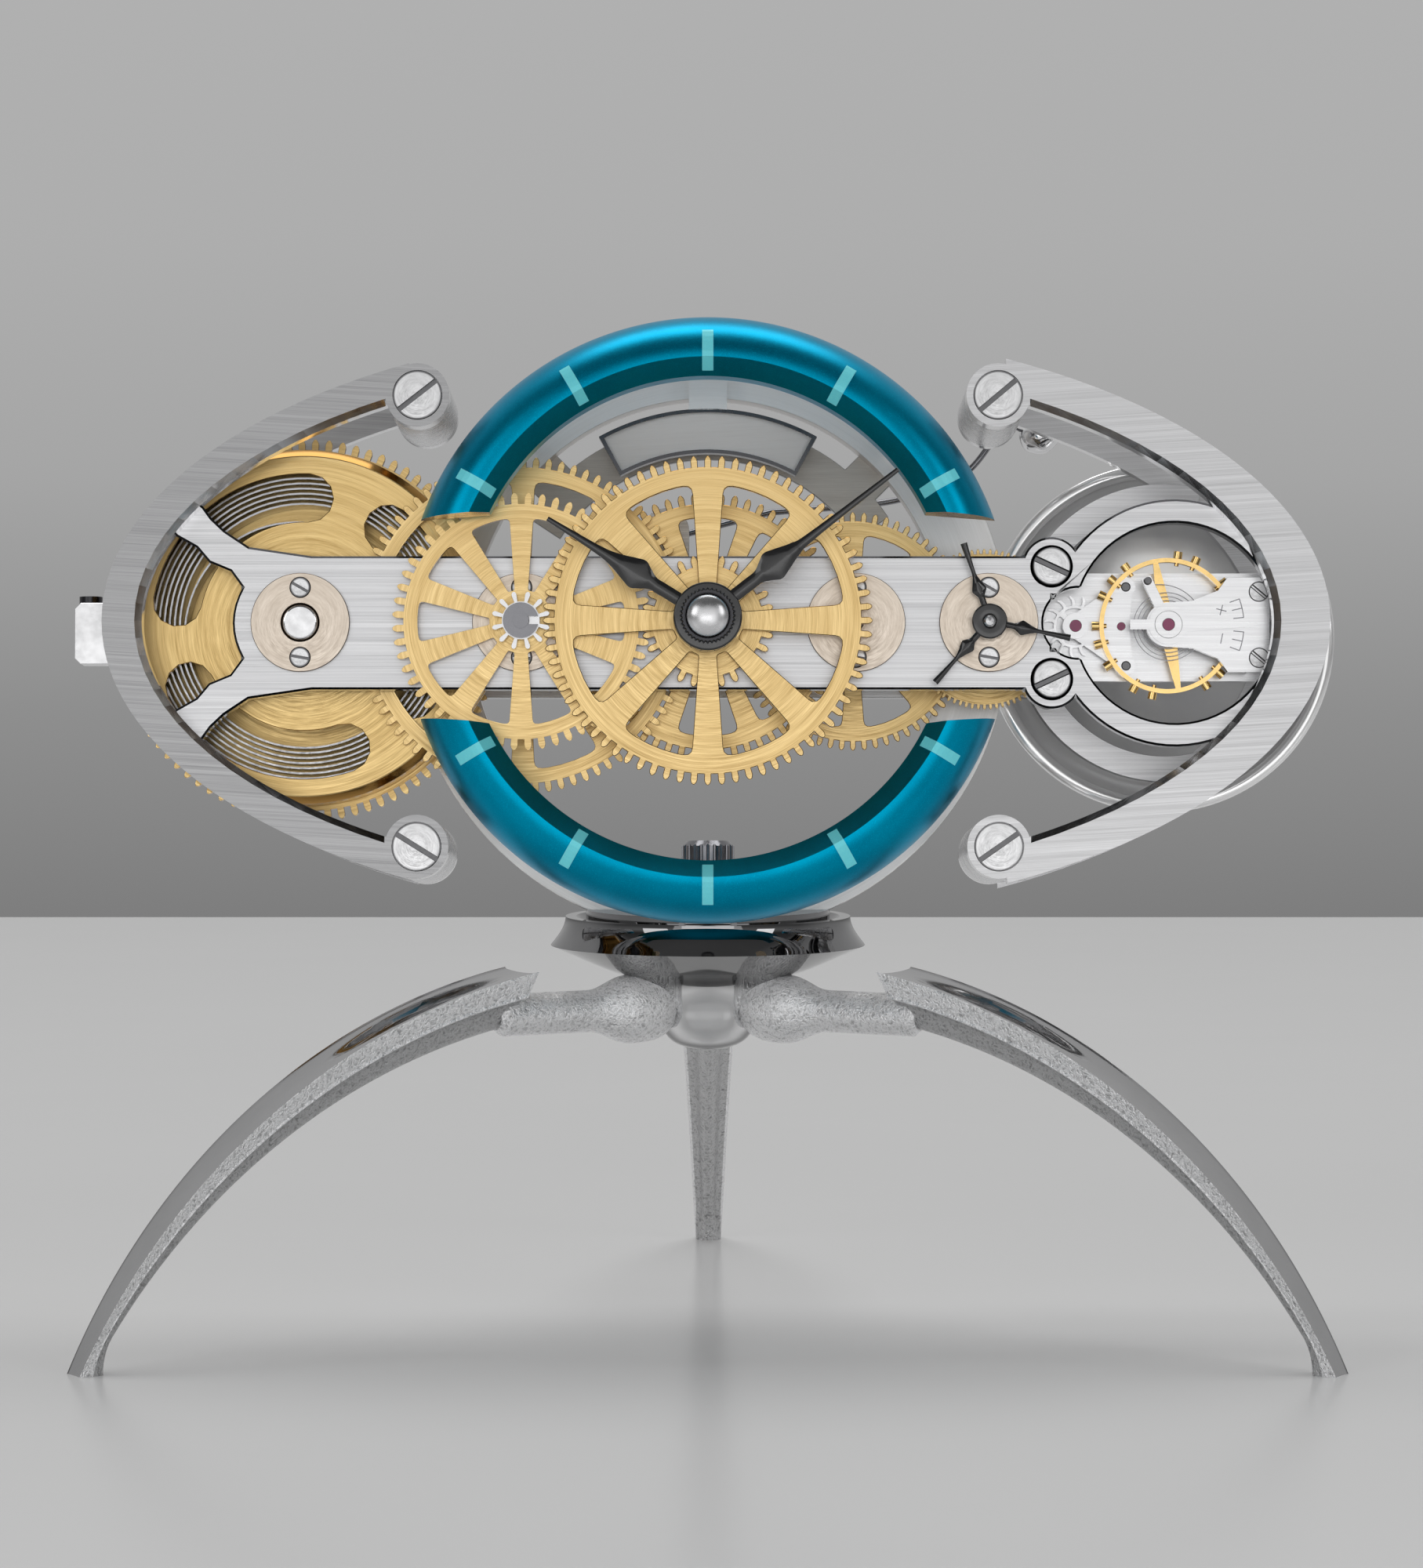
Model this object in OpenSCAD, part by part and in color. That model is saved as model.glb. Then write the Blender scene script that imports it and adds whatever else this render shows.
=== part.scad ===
// Skeleton table clock on a three-legged stand.
// The movement is drawn in its own frame: x to the right, y to the rear, z up,
// with the centre arbor at the origin and the front bridge's front face at y = 0.
// It leans back by the tilt, stands in the saddle and looks towards -Y.

/* [Placing the movement] */
// lean of the whole movement, degrees back from upright
tilt = 5.3; // [0:0.1:12]
// height of the centre arbor above the table, at the front bridge's face
arbor_h = 98.65; // [80:0.05:120]
// distance of that face in front of the stand's axis
face_ahead = 21.5; // [15:0.1:30]
// radial running clearance of every arbor in its bearing
fit = 0.05; // [0.02:0.01:0.1]
// small play of screws in their holes
play = 0.05; // [0.02:0.01:0.15]
// clear space left between pieces that pass each other
pass_gap = 0.3; // [0.2:0.05:0.6]

/* [Going train, teeth and modules] */
// great wheel's teeth
great_teeth = 86; // [72:1:96]
// leaves of the first pinion
first_leaves = 14; // [12:1:16]
// module of great wheel and first pinion
great_mod = 0.6; // [0.5:0.01:0.7]
// teeth of the first wheel
first_teeth = 80; // [64:1:90]
// leaves of the centre pinion
centre_leaves = 10; // [8:1:12]
// module of first wheel and centre pinion
first_mod = 0.56; // [0.5:0.01:0.62]
// teeth of the centre wheel
centre_teeth = 60; // [50:1:70]
// leaves of the third pinion
third_leaves = 8; // [7:1:10]
// module of centre wheel and third pinion
centre_mod = 0.59; // [0.5:0.01:0.65]
// teeth of the third wheel
third_teeth = 64; // [56:1:72]
// leaves of the seconds pinion
seconds_leaves = 8; // [7:1:10]
// module of third wheel and seconds pinion
third_mod = 0.5; // [0.4:0.01:0.6]
// teeth of the seconds wheel
seconds_teeth = 80; // [60:1:90]
// leaves of the escape pinion
escape_leaves = 10; // [8:1:12]
// module of seconds wheel and escape pinion
seconds_mod = 0.27; // [0.22:0.01:0.32]
// teeth of the cannon wheel
cannon_teeth = 28; // [24:1:32]
// teeth of the minute wheel
minute_teeth = 56; // [48:1:64]
// leaves of the minute pinion
minute_leaves = 12; // [10:1:14]
// teeth of the hour wheel
hour_teeth = 72; // [60:1:84]
// module of the motion work
motion_mod = 0.6; // [0.5:0.01:0.7]

/* [Wheel plates] */
// thickness of a train wheel
wheel_t = 1.2; // [0.8:0.1:1.6]
// spoke width at the rim of the hour wheel
spoke_w = 4.3; // [3:0.1:5]

/* [Depths behind the front bridge's face] */
// front of the first wheel
first_y = 5.0; // [4.6:0.1:5.4]
// front of the centre wheel
centre_y = 7.4; // [7:0.1:7.8]
// front of the seconds wheel
seconds_y = 12.8; // [12.4:0.1:13.2]
// front of the great wheel
great_y = 15.2; // [14.8:0.1:15.6]
// front of the third wheel
third_y = 17.2; // [17:0.1:17.6]
// front of the rear bridge
rear_y = 19.6; // [19.4:0.1:20.5]

/* [Bridges] */
// half height of both bridge bars
bar_hh = 9.05; // [8:0.05:10]
// thickness of the front bridge
bridge_t = 3.6; // [3:0.1:4.2]
// thickness of the rear bridge
rear_bridge_t = 3.4; // [3:0.1:4]
// reach of the fork beyond the barrel arbor
fork_reach = 17.2; // [16:0.1:19]
// half height of the fork
fork_hh = 15.9; // [14:0.1:18]
// distance of the eye's centre from the centre arbor
eye_x = 63.3; // [62:0.1:65]
// radius of the eye's opening
eye_r = 13.6; // [13:0.1:14.5]
// width of the ring round the eye
eye_w = 3.2; // [2.6:0.1:4]
// inner radius of the two curved fingers of the rear bridge
finger_r = 17.2; // [16.8:0.1:19]

/* [Arches] */
// half length of the arches' outer ellipse
arch_a = 82.8; // [78:0.1:86]
// half height of the arches' outer ellipse
arch_b = 40.2; // [38:0.1:44]
// half length of the arches' inner ellipse
arch_in_a = 76.4; // [74:0.1:78]
// half height of the arches' inner ellipse
arch_in_b = 35.4; // [34:0.1:37]
// distance of the pillars left and right of the centre
pillar_x = 39.2; // [38:0.1:42]
// height of the pillars above and below the centre
pillar_z = 30.5; // [29:0.1:33]
// radius of the pillars and of the arches' ends
pillar_r = 4.3; // [4:0.1:5]
// thickness of the front arches
arch_t = 4.5; // [3.5:0.1:5]
// thickness of the rear arches
rear_arch_t = 3.0; // [2.5:0.1:4]

/* [Screws] */
// head radius of the large arch screws
big_head_r = 3.27; // [3:0.01:3.5]

/* [Bearing covers] */
// radius of a bearing cover
cover_r = 6.7; // [6:0.1:7.2]
// thickness of a bearing cover
cover_t = 0.8; // [0.6:0.1:1.2]

/* [Rings] */
// outer radius of the blue dial ring
dial_r = 40.9; // [39:0.1:42]
// inner radius of the dial ring
dial_in_r = 32.5; // [31.5:0.1:33.5]
// front of the dial ring ahead of the bridge
dial_front = 12.7; // [11.5:0.1:14]
// back of the dial ring ahead of the bridge
dial_back = 5.0; // [4.8:0.1:6]
// width of an hour marker
marker_w = 1.5; // [1.2:0.1:2]
// distance of the posts from the centre
post_at = 37.0; // [36:0.1:38]
// inner radius of the rear ring
ring_in_r = 33.0; // [32:0.1:34]
// outer radius of the rear ring
ring_r = 41.9; // [40.5:0.1:43]
// thickness of the rear ring
ring_t = 5.0; // [4:0.1:6]

/* [Plaque and rear plate] */
// inner radius of the bare plaque
plaque_in_r = 25.1; // [24.5:0.1:26]
// outer radius of the plaque
plaque_r = 31.3; // [30:0.1:32]
// half angle of the plaque
plaque_half = 29; // [22:1:34]
// thickness of the plaque
plaque_t = 2.5; // [1.8:0.1:3]
// outer radius of the dark rear plate
rear_plate_r = 30.4; // [29.5:0.1:31.5]

/* [Hands] */
// length of the minute hand
minute_len = 32.1; // [28:0.1:32.4]
// length of the hour hand
hour_len = 25.2; // [22:0.1:28]
// thickness of a hand
hand_t = 1.0; // [0.6:0.1:1.2]
// radius of a hand's ring
hand_ring_r = 4.6; // [4:0.1:5]
// distance of a hand's broadest place from the centre
spade_at = 11; // [9:0.1:13]
// front of the minute hand ahead of the bridge
minute_front = 13.0; // [12.5:0.1:14]
// angle of the minute hand from the right
minute_angle = 37.7; // [-180:0.1:180]
// angle of the hour hand from the right
hour_angle = 148.3; // [-180:0.1:180]
// length of the arms of the seconds hand
seconds_len = 11.1; // [9:0.1:12]
// angle of the first of them from the right
seconds_angle = 108.3; // [0:0.1:120]
// radius of the centre arbor
arbor_r = 1.5; // [1.2:0.05:1.8]
// radius of the cannon pipe
cannon_r = 2.3; // [2.1:0.05:2.6]

/* [Barrel] */
// outer radius of the barrel drum
drum_r = 24.3; // [23:0.1:25]
// wall of the drum
drum_wall = 1.2; // [0.9:0.1:1.8]
// front of the barrel cover behind the front bridge
drum_y = 6.8; // [6.6:0.1:7.6]
// thickness of the barrel cover
lid_t = 1.3; // [1:0.1:1.8]
// thickness of the mainspring
spring_t = 0.25; // [0.2:0.01:0.3]
// clear gap between its packed coils
spring_gap = 0.45; // [0.41:0.01:0.6]
// teeth of the ratchet wheel
ratchet_teeth = 24; // [16:1:32]

/* [Escapement] */
// front of the platform behind the front bridge
platform_y = 9.3; // [9:0.1:9.6]
// half height of the platform
platform_hh = 7.4; // [6.8:0.1:8]
// distance of the balance staff from the centre arbor
balance_x = 62.7; // [62:0.1:63.5]
// outer radius of the balance rim
balance_r = 9.27; // [8.8:0.01:9.5]
// front of the balance rim behind the front bridge
balance_y = 5.7; // [5.6:0.05:5.9]
// depth of the balance rim
balance_t = 1.3; // [1:0.1:1.4]
// angle of the balance's two arms from the right
balance_arm_angle = 100; // [0:1:180]
// front of the cock behind the front bridge
cock_y = 3.9; // [3.85:0.05:4]
// thickness of the cock
cock_t = 1.2; // [1:0.1:1.3]
// radius of the cock's head
cock_head_r = 3.05; // [2.6:0.05:3.4]
// half height of the cock's foot
cock_foot_hh = 6.45; // [5.5:0.05:7]
// outer radius of the regulator's ring
regulator_r = 2.7; // [2.4:0.05:2.9]
// reach of the regulator's pointer
pointer_l = 12.6; // [11:0.1:13.2]
// turns of the hairspring
hair_turns = 6.25; // [5:0.25:7]
// teeth of the escape wheel
escape_teeth = 15; // [12:1:18]
// tip radius of the escape wheel
escape_r = 4.3; // [3.9:0.05:4.4]
// thickness of escape wheel and pallet fork
escape_t = 0.6; // [0.4:0.05:0.8]
// distance of the pallet arbor from the escape arbor
pallet_at = 6.3; // [6:0.1:6.6]

/* [Bell and hammer] */
// distance of the bell's centre from the centre arbor
bell_x = 63.5; // [62:0.1:65]
// radius of the bell's mouth
bell_r = 24.6; // [23:0.1:26]
// mouth of the bell behind the front bridge
bell_y = 30; // [29:0.1:32]
// depth of the bell
bell_d = 9.5; // [8:0.1:12]
// distance of the hammer's pivot left of the centre arbor
hammer_x = 5.8; // [4:0.1:8]
// height of the hammer's pivot above the arbor line
hammer_z = 14.1; // [12.5:0.1:16]
// depth of the hammer's wire behind the front bridge
hammer_y = 33; // [32:0.1:35]
// radius of the hammer's head
hammer_r = 2.7; // [2.3:0.1:3.2]
// distance of the hammer's head right of the centre arbor
head_x = 46.7; // [44:0.1:48]
// height of the hammer's head above the arbor line
head_z = 28.8; // [27:0.1:31]

/* [Side block and clamp screw] */
// half height of the side block
block_hh = 4.25; // [3.5:0.05:5]
// radius of the knurled clamp screw
knob_r = 3.7; // [3.2:0.1:4.2]
// height of the knurled clamp screw
knob_h = 4.1; // [3.4:0.1:5]

/* [Stand] */
// height of the dish's sharp lower rim
dish_low_z = 53.3; // [50:0.1:56]
// radius of that rim
dish_low_r = 21.9; // [20:0.1:24]
// height of the dish's upper rim
dish_top_z = 57.3; // [55:0.1:60]
// outer radius of the upper rim
dish_top_r = 19.85; // [18.5:0.05:21]
// radius of the saddle
saddle_r = 17.0; // [15:0.1:18]
// height of the saddle's top
saddle_top_z = 58.3; // [57:0.1:60]
// height of the hub's lowest point
hub_low_z = 38.7; // [36:0.1:41]
// height of the legs' sockets
socket_z = 44.8; // [43.5:0.1:46]
// distance from the axis at which a leg's blade starts on top
blade_top_at = 29.4; // [27:0.1:32]
// height of the blade there
blade_top_z = 51.0; // [49:0.1:54]
// width of the blade at its inner end
blade_w = 10; // [8:0.1:12]
// radius of the blade's outer curve
blade_out_rad = 93; // [88:0.5:110]
// radius of the blade's inner curve
blade_in_rad = 92.9; // [88:0.5:110]
// outer edge of the sole from the axis
foot_out = 96.6; // [90:0.1:105]
// width of the sole
foot_w = 4.0; // [3:0.1:6]
// turn of the front legs from the side towards the front
leg_turn = 30; // [25:1:35]

/* [Hidden] */
$fn = 72;
// smaller sizes of single pieces
big_slot = 0.7;
small_slot = 0.36;
big_head_t = 1.5;
big_shank_r = 1.6;
big_shank_l = 5;
mid_shank_r = 1.1;
small_shank_r = 0.6;
small_head_t = 0.6;
plaque_edge = 1.2;
plaque_sink = 0.5;
stem_lap = 3.2;
rear_plate_t = 1.4;
tab_w = 6;
dial_cone = 3.0;
marker_t = 0.35;
arch_bevel = 0.9;
tip_hw = 0.3;
hand_gap = 1.0;
nut_dome_r = 3.0;
nut_r = 3.75;
hour_pipe_w = 0.8;
lid_bevel = 1.0;
web_half = 8.5;
ratchet_t = 1.2;
timing_r = 0.6;
timing_l = 0.95;
cock_foot_w = 2.9;
regulator_t = 0.5;
hair_t = 0.1;
escape_bridge_t = 0.6;
escape_foot_z = 5.4;
jewel_r = 0.8;
setting_r = 1.75;
pivot_r = 0.25;
balance_rim = 1.0;
bell_wall = 1.2;
bell_lip = 2.0;
bell_post_r = 2.2;
wire_r = 0.45;
block_d = 5;
block_lap = 1.6;
knob_flutes = 24;
knob_shank_r = 1.5;
saddle_floor = 0.8;
spigot_r = 5.4;
spigot_l = 4;
leg_pin_r = 2.0;
leg_pin_in = 3.8;
root_at = 12.6;
ankle_t = 2.6;
stem_w = 5.3;
gap_in_hh = 14.4;
gap_out_hh = 12.9;
fork_hollow_r = 9.2;
bell_arm_hw = 3.4;
small_head_r = 1.33;
mid_head_r = 2.55;
cover_screw_at = 4.74;
seconds_t = 0.8;
great_t = 1.6;
eye_boss_r = 4.0;
eye_boss_x = 46.6;
eye_boss_z = 7.65;
marker_in_r = 33.1;
marker_l = 5.4;
post_r = 2.0;
rear_plate_from = 33.5;
hour_hub_r = 4.8;
minute_hub_r = 4.3;
train_hub_r = 4.2;
hour_rim = 2.3;
wheel_rim = 1.9;
barrel_core_r = 3.4;
square_l = 6;
hair_in_r = 1.7;
hair_pitch = 0.54;
stud_at = 6.6;
stud_angle = 115;
cam_r = 5.0;
escape_y = 7.9;
platform_t = 2.0;
dish_in_r = 18.4;
root_r = 4.75;
arm_r = 2.9;
slot_in_r = 14.3;
slot_out_r = 20.9;
web_angle = 68.5;
square_hw = 1.7;
ratchet_r = 5.2;
recess_r = 4.75;
finger_w = 3.5;
arch_shift = 1.1;
seconds_hw = 1.0;
spade_hw = 2.1;
barrel_end_r = 2.45;
blade_low_at = 32.6;
blade_low_z = 43.1;
escape_rim_r = 2.9;
cock_foot_x = 73.6;
spring_pack_r = 16.4;
foot_in = 92.7;
dial_ridge_r = 34.8;
rear_plate_in_r = 24.9;
small_spoke_w = 3.2;
// overrun of cuts
over = 0.2;
// facets of small round things
small_fn = 32;
steel = [0.75, 0.75, 0.77];
brushed = [0.71, 0.71, 0.72];
bright = [0.79, 0.79, 0.81];
chrome = [0.86, 0.86, 0.87];
brass = [0.83, 0.68, 0.36];
gold = [0.88, 0.71, 0.38];
black = [0.04, 0.04, 0.045];
dark = [0.25, 0.25, 0.27];

// places of the arbors, from teeth and modules
seconds_r = seconds_teeth * seconds_mod / 2;
first_x = -(first_teeth + centre_leaves) * first_mod / 2;
barrel_x = first_x - (great_teeth + first_leaves) * great_mod / 2;
third_x = (centre_teeth + third_leaves) * centre_mod / 2;
seconds_x = third_x + (third_teeth + seconds_leaves) * third_mod / 2;
escape_x = seconds_x + (seconds_teeth + escape_leaves) * seconds_mod / 2;
pallet_x = escape_x + pallet_at;
arbor_xs = [barrel_x, first_x, 0, third_x, seconds_x];
// depths that follow from the sizes above
rear_back = rear_y + rear_bridge_t;
ring_back = rear_back + ring_t;
minute_back = -minute_front + hand_t;
hour_front = minute_back + hand_gap;
motion_gap = 0.8;
cannon_y = -cover_t - 2 * pass_gap - wheel_t;
hour_y = cannon_y - motion_gap - wheel_t;
lid_back = drum_y + lid_t;
great_back = great_y + great_t;
platform_back = platform_y + platform_t;
// arbor and pivot radii of the train
train_arbor_r = 1.4;
train_pivot_r = 0.9;
seconds_pivot_r = 0.8;
hour_pipe_in_r = cannon_r + fit;
hour_pipe_r = hour_pipe_in_r + hour_pipe_w;
// shape of a tooth: heights in addenda or roots, widths in half teeth
tooth_shares = [[-1, 1.0], [0, 1.0], [0.55, 0.74], [0.95, 0.28]];
fine_tooth_shares = [[-1, 1.0], [0, 1.0], [0.95, 0.34]];
leaf_shares = [[-1, 0.9], [0, 1.0], [0.6, 0.75], [1, 0.25]];
tooth_addendum_share = 1.1;
tooth_root_share = 1.45;
leaf_addendum_share = 0.6;
leaf_root_share = 1.7;
leaf_width_share = 1.1;
window_corner_share = 0.3;
spoke_taper_share = 0.56;
slot_depth_share = 0.42;

function polar(r, a) = [r * cos(a), r * sin(a)];
function arc(r, a0, a1, n) = [for (i = [0:n]) polar(r, a0 + (a1 - a0) * i / n)];
function flip(points) = [for (i = [len(points) - 1:-1:0]) [points[i][0], -points[i][1]]];
function toward(p, q, d) = p + (q - p) * d / norm(q - p);
// a corner p between a and b, rounded over the distance d
function corner(p, a, b, d, n = 3) = [for (i = [0:n])
  let (s = i / n, f = toward(p, a, d), g = toward(p, b, d))
  (1 - s) * (1 - s) * f + 2 * s * (1 - s) * p + s * s * g];
function spline(p0, p1, p2, p3, s) = 0.5 * (2 * p1 + (p2 - p0) * s
  + (2 * p0 - 5 * p1 + 4 * p2 - p3) * s * s + (3 * p1 - p0 - 3 * p2 + p3) * s * s * s);
// a smooth curve through a list of points, n steps between two of them
function curve(p, n) = concat([for (i = [0:len(p) - 2], k = [0:n - 1])
  spline(p[max(i - 1, 0)], p[i], p[i + 1], p[min(i + 2, len(p) - 1)], k / n)], [p[len(p) - 1]]);

// teeth round a circle: one tooth is centred on the angle turn
function toothed(n, pitch_r, up, down, half_angle, shape, turn) = [for (k = [0:n - 1],
  side = [-1, 1], i = [0:len(shape) - 1])
  let (s = side < 0 ? shape[i] : shape[len(shape) - 1 - i],
    r = s[0] < 0 ? pitch_r + down * s[0] : pitch_r + up * s[0])
  polar(r, turn + k * 360 / n + side * half_angle * s[1])];
function wheel_teeth(n, m, turn, shape) = toothed(n, n * m / 2, m * tooth_addendum_share,
  m * tooth_root_share, 90 / n, shape, turn);
function leaves(n, m, turn) = toothed(n, n * m / 2, m * leaf_addendum_share,
  m * leaf_root_share, leaf_width_share * 180 / PI / n, leaf_shares, turn);
function root_r(n, m) = n * m / 2 - m * tooth_root_share;

// one window between two spokes whose middles lie at a0 and a1
function window(r_out, r_in, a0, a1, w_out, w_in) =
  let (bo = asin(w_out / 2 / r_out), bi = asin(w_in / 2 / r_in),
    q = arc(r_out, a0 + bo, a1 - bo, 5), s = arc(r_in, a1 - bi, a0 + bi, 2),
    d = norm(s[2] - s[0]) * window_corner_share, e = norm(q[1] - q[0]) * 2 * window_corner_share)
  concat(corner(q[0], s[2], q[1], e), [q[1], q[2], q[3], q[4]], corner(q[5], q[4], s[0], e),
    corner(s[0], q[5], s[1], d), [s[1]], corner(s[2], s[1], q[0], d));

module plate(y0, y1) {
  translate([0, y1, 0]) rotate([90, 0, 0]) linear_extrude(y1 - y0) children();
}

module rod(r, y0, y1, x = 0, z = 0, fn = 48) {
  translate([x, y0, z]) rotate([-90, 0, 0]) cylinder(r = r, h = y1 - y0, $fn = fn);
}

// a bore that runs past both ends
module hole(r, y0, y1, x = 0, z = 0, fn = 48) {
  rod(r, y0 - over, y1 + over, x, z, fn);
}

// a turned piece: points are [radius, depth]
module turned(points, x = 0, z = 0) {
  translate([x, 0, z]) rotate([-90, 0, 0]) rotate_extrude() polygon(points);
}

// a stepped shaft from y0: steps are [radius, depth at which it ends]
module shaft(y0, steps, x = 0, z = 0) {
  turned(concat([[0, y0]], [for (i = [0:len(steps) - 1])
    each [[steps[i][0], i == 0 ? y0 : steps[i - 1][1]], steps[i]]],
    [[0, steps[len(steps) - 1][1]]]), x, z);
}

module tube(r_out, r_in, y0, y1, x = 0, z = 0) {
  turned([[r_in, y0], [r_out, y0], [r_out, y1], [r_in, y1]], x, z);
}

module movement() {
  translate([0, stand_y - face_ahead, arbor_h]) rotate([-tilt, 0, 0]) children();
}

module wheel_flat(teeth, windows) {
  count = len(windows) == 0 ? 0 : len(windows[0]);
  polygon(points = concat(teeth, [for (w = windows) each w]),
    paths = concat([[for (i = [0:len(teeth) - 1]) i]],
      [for (k = [0:1:len(windows) - 1]) [for (i = [0:count - 1]) len(teeth) + k * count + i]]));
}

// a spoked wheel with a tooth at tooth_turn and a spoke at spoke_turn
module wheel(n, m, rim, hub, spokes, w, tooth_turn, spoke_turn, bore, y, t, x) {
  r_out = root_r(n, m) - rim;
  windows = [for (k = [0:1:spokes - 1])
    window(r_out, hub, spoke_turn + k * 360 / spokes, spoke_turn + (k + 1) * 360 / spokes,
      w, w * spoke_taper_share)];
  translate([x, 0, 0]) difference() {
    plate(y, y + t) wheel_flat(wheel_teeth(n, m, tooth_turn, tooth_shares), windows);
    hole(bore, y, y + t);
  }
}

// leaves on an arbor, with a gap on the side of the wheel
module pinion(n, m, wheel_side, y0, y1, x) {
  translate([x, 0, 0]) plate(y0, y1) polygon(leaves(n, m, wheel_side + 180 / n));
}

// a slotted screw that is put in from the front
module screw(x, z, y, head_r, head_t, shank_r, shank_l, slot, turn) {
  translate([x, y, z]) {
    difference() {
      rod(head_r, 0, head_t, fn = small_fn);
      rotate([0, turn, 0]) translate([-head_r - over, -over, -slot / 2])
        cube([2 * (head_r + over), head_t * slot_depth_share + over, slot]);
    }
    rod(shank_r, head_t, head_t + shank_l, fn = small_fn);
  }
}

module small_screw(x, z, y, shank_l, turn) {
  screw(x, z, y, small_head_r, small_head_t, small_shank_r, shank_l, small_slot, turn);
}

module from_rear(y) {
  translate([0, y, 0]) mirror([0, 1, 0]) children();
}

// outline of a hand that points to the right
hand_shares = [[0.62, 0.42], [0.78, 0.44], [0.9, 0.75], [1, 1], [1.14, 0.8], [1.34, 0.46], [1.6, 0.27]];
module hand_flat(length, at, hw, tip) {
  side = [for (s = hand_shares) [s[0] * at, s[1] * hw]];
  upper = concat([[0, side[0][1]]], side, [[length, tip]]);
  polygon(concat(upper, flip(upper)));
}

module hand(length, y, bore, turn) {
  difference() {
    plate(y, y + hand_t) rotate(turn) hand_flat(length, spade_at, spade_hw, tip_hw);
    hole(hand_ring_r, y, y + hand_t);
  }
  tube(hand_ring_r, bore, y, y + hand_t);
}

module minute_hand() {
  color(black) hand(minute_len, -minute_front, arbor_r + play, minute_angle);
}

module hour_hand() {
  color(black) hand(hour_len, hour_front, hour_pipe_r + play, hour_angle);
}

nut_flutes = 40;
nut_ring_t = 1.1;
nut_dome_t = 1.5;
module hand_nut() {
  front = -minute_front - nut_ring_t;
  color(black) difference() {
    rod(nut_r, front, -minute_front);
    for (k = [0:nut_flutes - 1])
      rotate([0, k * 360 / nut_flutes, 0])
        hole(PI * nut_r / nut_flutes / 2, front, -minute_front, nut_r, fn = 16);
    rod(nut_dome_r, front - over, front + nut_ring_t / 2);
    hole(arbor_r + play, front, -minute_front);
  }
  color(bright) turned(concat([[0, front + nut_ring_t / 2]],
    [for (i = [0:8]) [nut_dome_r * cos(i * 90 / 8),
      front + nut_ring_t / 2 - nut_dome_t * sin(i * 90 / 8)]]));
}

seconds_tip_share = 0.45;
seconds_spade_share = 0.4;
seconds_hub_r = 2.4;
seconds_front = -cover_t - 2 * pass_gap - 2 * hand_t;
module seconds_hand() {
  color(black) difference() {
    union() {
      rod(seconds_hub_r, seconds_front, seconds_front + hand_t, seconds_x);
      for (k = [0:2])
        plate(seconds_front, seconds_front + hand_t) translate([seconds_x, 0])
          rotate(seconds_angle - k * 120) hand_flat(seconds_len, seconds_len * seconds_spade_share,
            seconds_hw, seconds_hw * seconds_tip_share);
    }
    hole(seconds_pivot_r + play, seconds_front, seconds_front + hand_t, seconds_x);
  }
}

dial_flank_r = dial_r - dial_ridge_r;
dial_flank_d = dial_front - dial_back;
dial_steps = 14;
// section of the dial ring, grown outwards by g
function dial_section(g) = concat([[dial_in_r, -dial_back], [dial_in_r, -dial_front + dial_cone - g]],
  [for (i = [dial_steps:-1:0]) [dial_ridge_r + (dial_flank_r + g) * cos(i * 90 / dial_steps),
    -dial_back - (dial_flank_d + g) * sin(i * 90 / dial_steps)]]);
// the two gaps left and right, a little higher inside than outside
module dial_gaps() {
  for (side = [-1, 1])
    plate(-dial_front - over, -dial_back + over)
      polygon([[side * dial_in_r * 0.8, gap_in_hh], [side * dial_r * 1.1, gap_out_hh],
        [side * dial_r * 1.1, -gap_out_hh], [side * dial_in_r * 0.8, -gap_in_hh]]);
}

module dial_ring() {
  color([0.0, 0.45, 0.66]) difference() {
    turned(dial_section(0));
    dial_gaps();
  }
}

module hour_markers() {
  color([0.4, 0.8, 0.92]) intersection() {
    difference() {
      turned(dial_section(marker_t));
      turned(dial_section(0));
    }
    for (hour = [1, 2, 4, 5, 6, 7, 8, 10, 11, 12])
      rotate([0, hour * 30 - 90, 0]) translate([marker_in_r, -dial_front - marker_t - over, -marker_w / 2])
        cube([marker_l, dial_front - dial_back, marker_w]);
  }
}

module dial_posts() {
  color(steel) for (k = [0:3])
    rod(post_r, -dial_back, rear_back, post_at * cos(45 + k * 90), post_at * sin(45 + k * 90));
}

module hour_wheel() {
  color(brass) {
    wheel(hour_teeth, motion_mod, hour_rim, hour_hub_r, 8, spoke_w, 180, 90, hour_pipe_in_r, hour_y,
      wheel_t, 0);
    tube(hour_pipe_r, hour_pipe_in_r, hour_front, hour_y);
    tube(hour_pipe_r, hour_pipe_in_r, hour_y + wheel_t, cannon_y - pass_gap);
  }
}

module cannon_wheel() {
  color(brass) {
    wheel(cannon_teeth, motion_mod, wheel_rim, train_hub_r, 0, spoke_w, 180, 0, arbor_r + play,
      cannon_y, wheel_t, 0);
    tube(cannon_r, arbor_r + play, minute_back, cannon_y);
  }
}

minute_stud_r = 1.1;
minute_pipe_r = 2.0;
minute_flange_r = 2.4;
module minute_wheel() {
  color(brass)
    wheel(minute_teeth, motion_mod, wheel_rim, minute_hub_r, 10, small_spoke_w, 180 / minute_teeth, 90,
      minute_pipe_r + play, cannon_y, wheel_t, first_x);
}

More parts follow.
